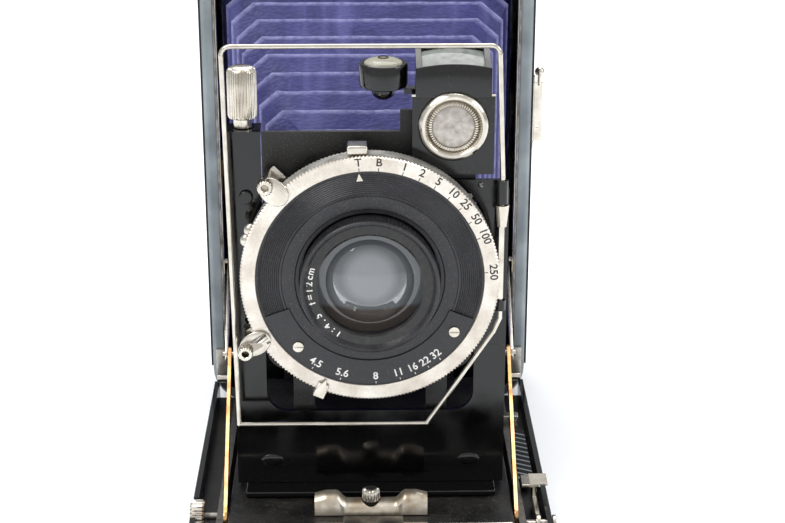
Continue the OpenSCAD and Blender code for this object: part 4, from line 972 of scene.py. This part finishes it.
finder_low, finder_high = box_mm("finder_body")
shelf_z = centre.z + 7.7
bm = block((22.6, 0.5, 0.55), 0.15)
make_piece("finder_seam", bm, "finder", nickel, weighted=True,
           move=Matrix.Translation((centre.x, bezel_high.y - 0.05, shelf_z + 0.8)))

# arched brow of the hood, with a fine rubbed edge
bm = bmesh.new()
bmesh.ops.create_grid(bm, x_segments=24, y_segments=1, size=0.5)
bmesh.ops.scale(bm, vec=(20.4, 8.2, 1), verts=bm.verts)
for vert in bm.verts:
    if vert.co.y > 0:
        vert.co.y += 1.1 * (1 - (vert.co.x / 10.2) ** 2)
thicken(bm, 0.5)
round_over(bm, sharp_edges(bm, 60), 0.18, 2)
make_piece("finder_brow", bm, "finder", gloss_black,
           move=Matrix.Translation((centre.x, finder_low.y + 0.1, shelf_z + 4.2)) @ FORWARD)

finder_glass, tree, shader, place = new_material("finder_glass", "#8f9490", 0.08, Transmission_Weight=0.4,
                                                 IOR=1.5)
tint(tree, shader, blotches(tree, place, 3, 0.3, 0.7), "#9da29e", "#6f746f")
bm = bmesh.new()
bmesh.ops.create_grid(bm, x_segments=20, y_segments=8, size=0.5)
bmesh.ops.scale(bm, vec=(17.6, 9.2, 1), verts=bm.verts)
for vert in bm.verts:
    share = vert.co.y / 9.2 + 0.5
    vert.co.z = share * 2.9 + 1.0 * (1 - (vert.co.x / 8.8) ** 2) + 0.5 * (1 - (2 * share - 1) ** 2)
thicken(bm, -1.2)
make_piece("finder_top_glass", bm, "finder", finder_glass, (), smooth=40,
           move=Matrix.Translation((centre.x, (finder_low.y + finder_high.y) / 2 + 0.3, centre.z + 15.0)))

# level: black turned cup, domed glass over yellowish spirit, and a black ring mark on top
cup_low, cup_high = box_mm("level_cup")
cup_r = (cup_high.x - cup_low.x) / 2
cup = Vector(((cup_low.x + cup_high.x) / 2, (cup_low.y + cup_high.y) / 2, cup_low.z))
high = cup_high.z - cup_low.z
bm = spun([(0, 0), (1.6, 0.25), (2.8, 1.2), (3.3, 2.6), (3.4, 3.3), (5.4, 3.45), (6.3, 3.9), (cup_r, 4.7),
           (cup_r, high - 0.7), (cup_r - 0.25, high - 0.15), (cup_r - 0.7, high), (cup_r - 1.2, high - 0.2),
           (cup_r - 1.3, 5.5), (0, 5.4)], 96, closed=False)
make_piece("level_housing", bm, "finder", gloss_black, ("level_cup",), smooth=35,
           move=Matrix.Translation(cup))
level_glass, tree, shader, place = new_material("spirit_level_glass", "#e9e6cf", 0.04,
                                                Transmission_Weight=0.6, IOR=1.45)
tint(tree, shader, blotches(tree, place, 4, 0.3, 0.7), "#eeecd8", "#cfcab0")
inner = cup_r - 1.35
bm = spun([(inner, 5.6), (inner, high - 0.35)] + [(inner * math.cos(a),
                                                   high - 0.3 + 1.5 * math.sin(a)) for a in
          [math.radians(90) * i / 10 for i in range(1, 11)]] + [(0, 5.6)], 72, closed=False)
make_piece("level_dome", bm, "finder", level_glass, ("finder_glass",), smooth=40,
           move=Matrix.Translation(cup))
bm = spun([(1.2, 0), (1.45, 0.12), (1.45, 0.3), (1.2, 0.42)], 40)
make_piece("level_ring_mark", bm, "finder", black_fill, move=Matrix.Translation(
    (cup.x, cup.y, cup.z + high + 1.05)))
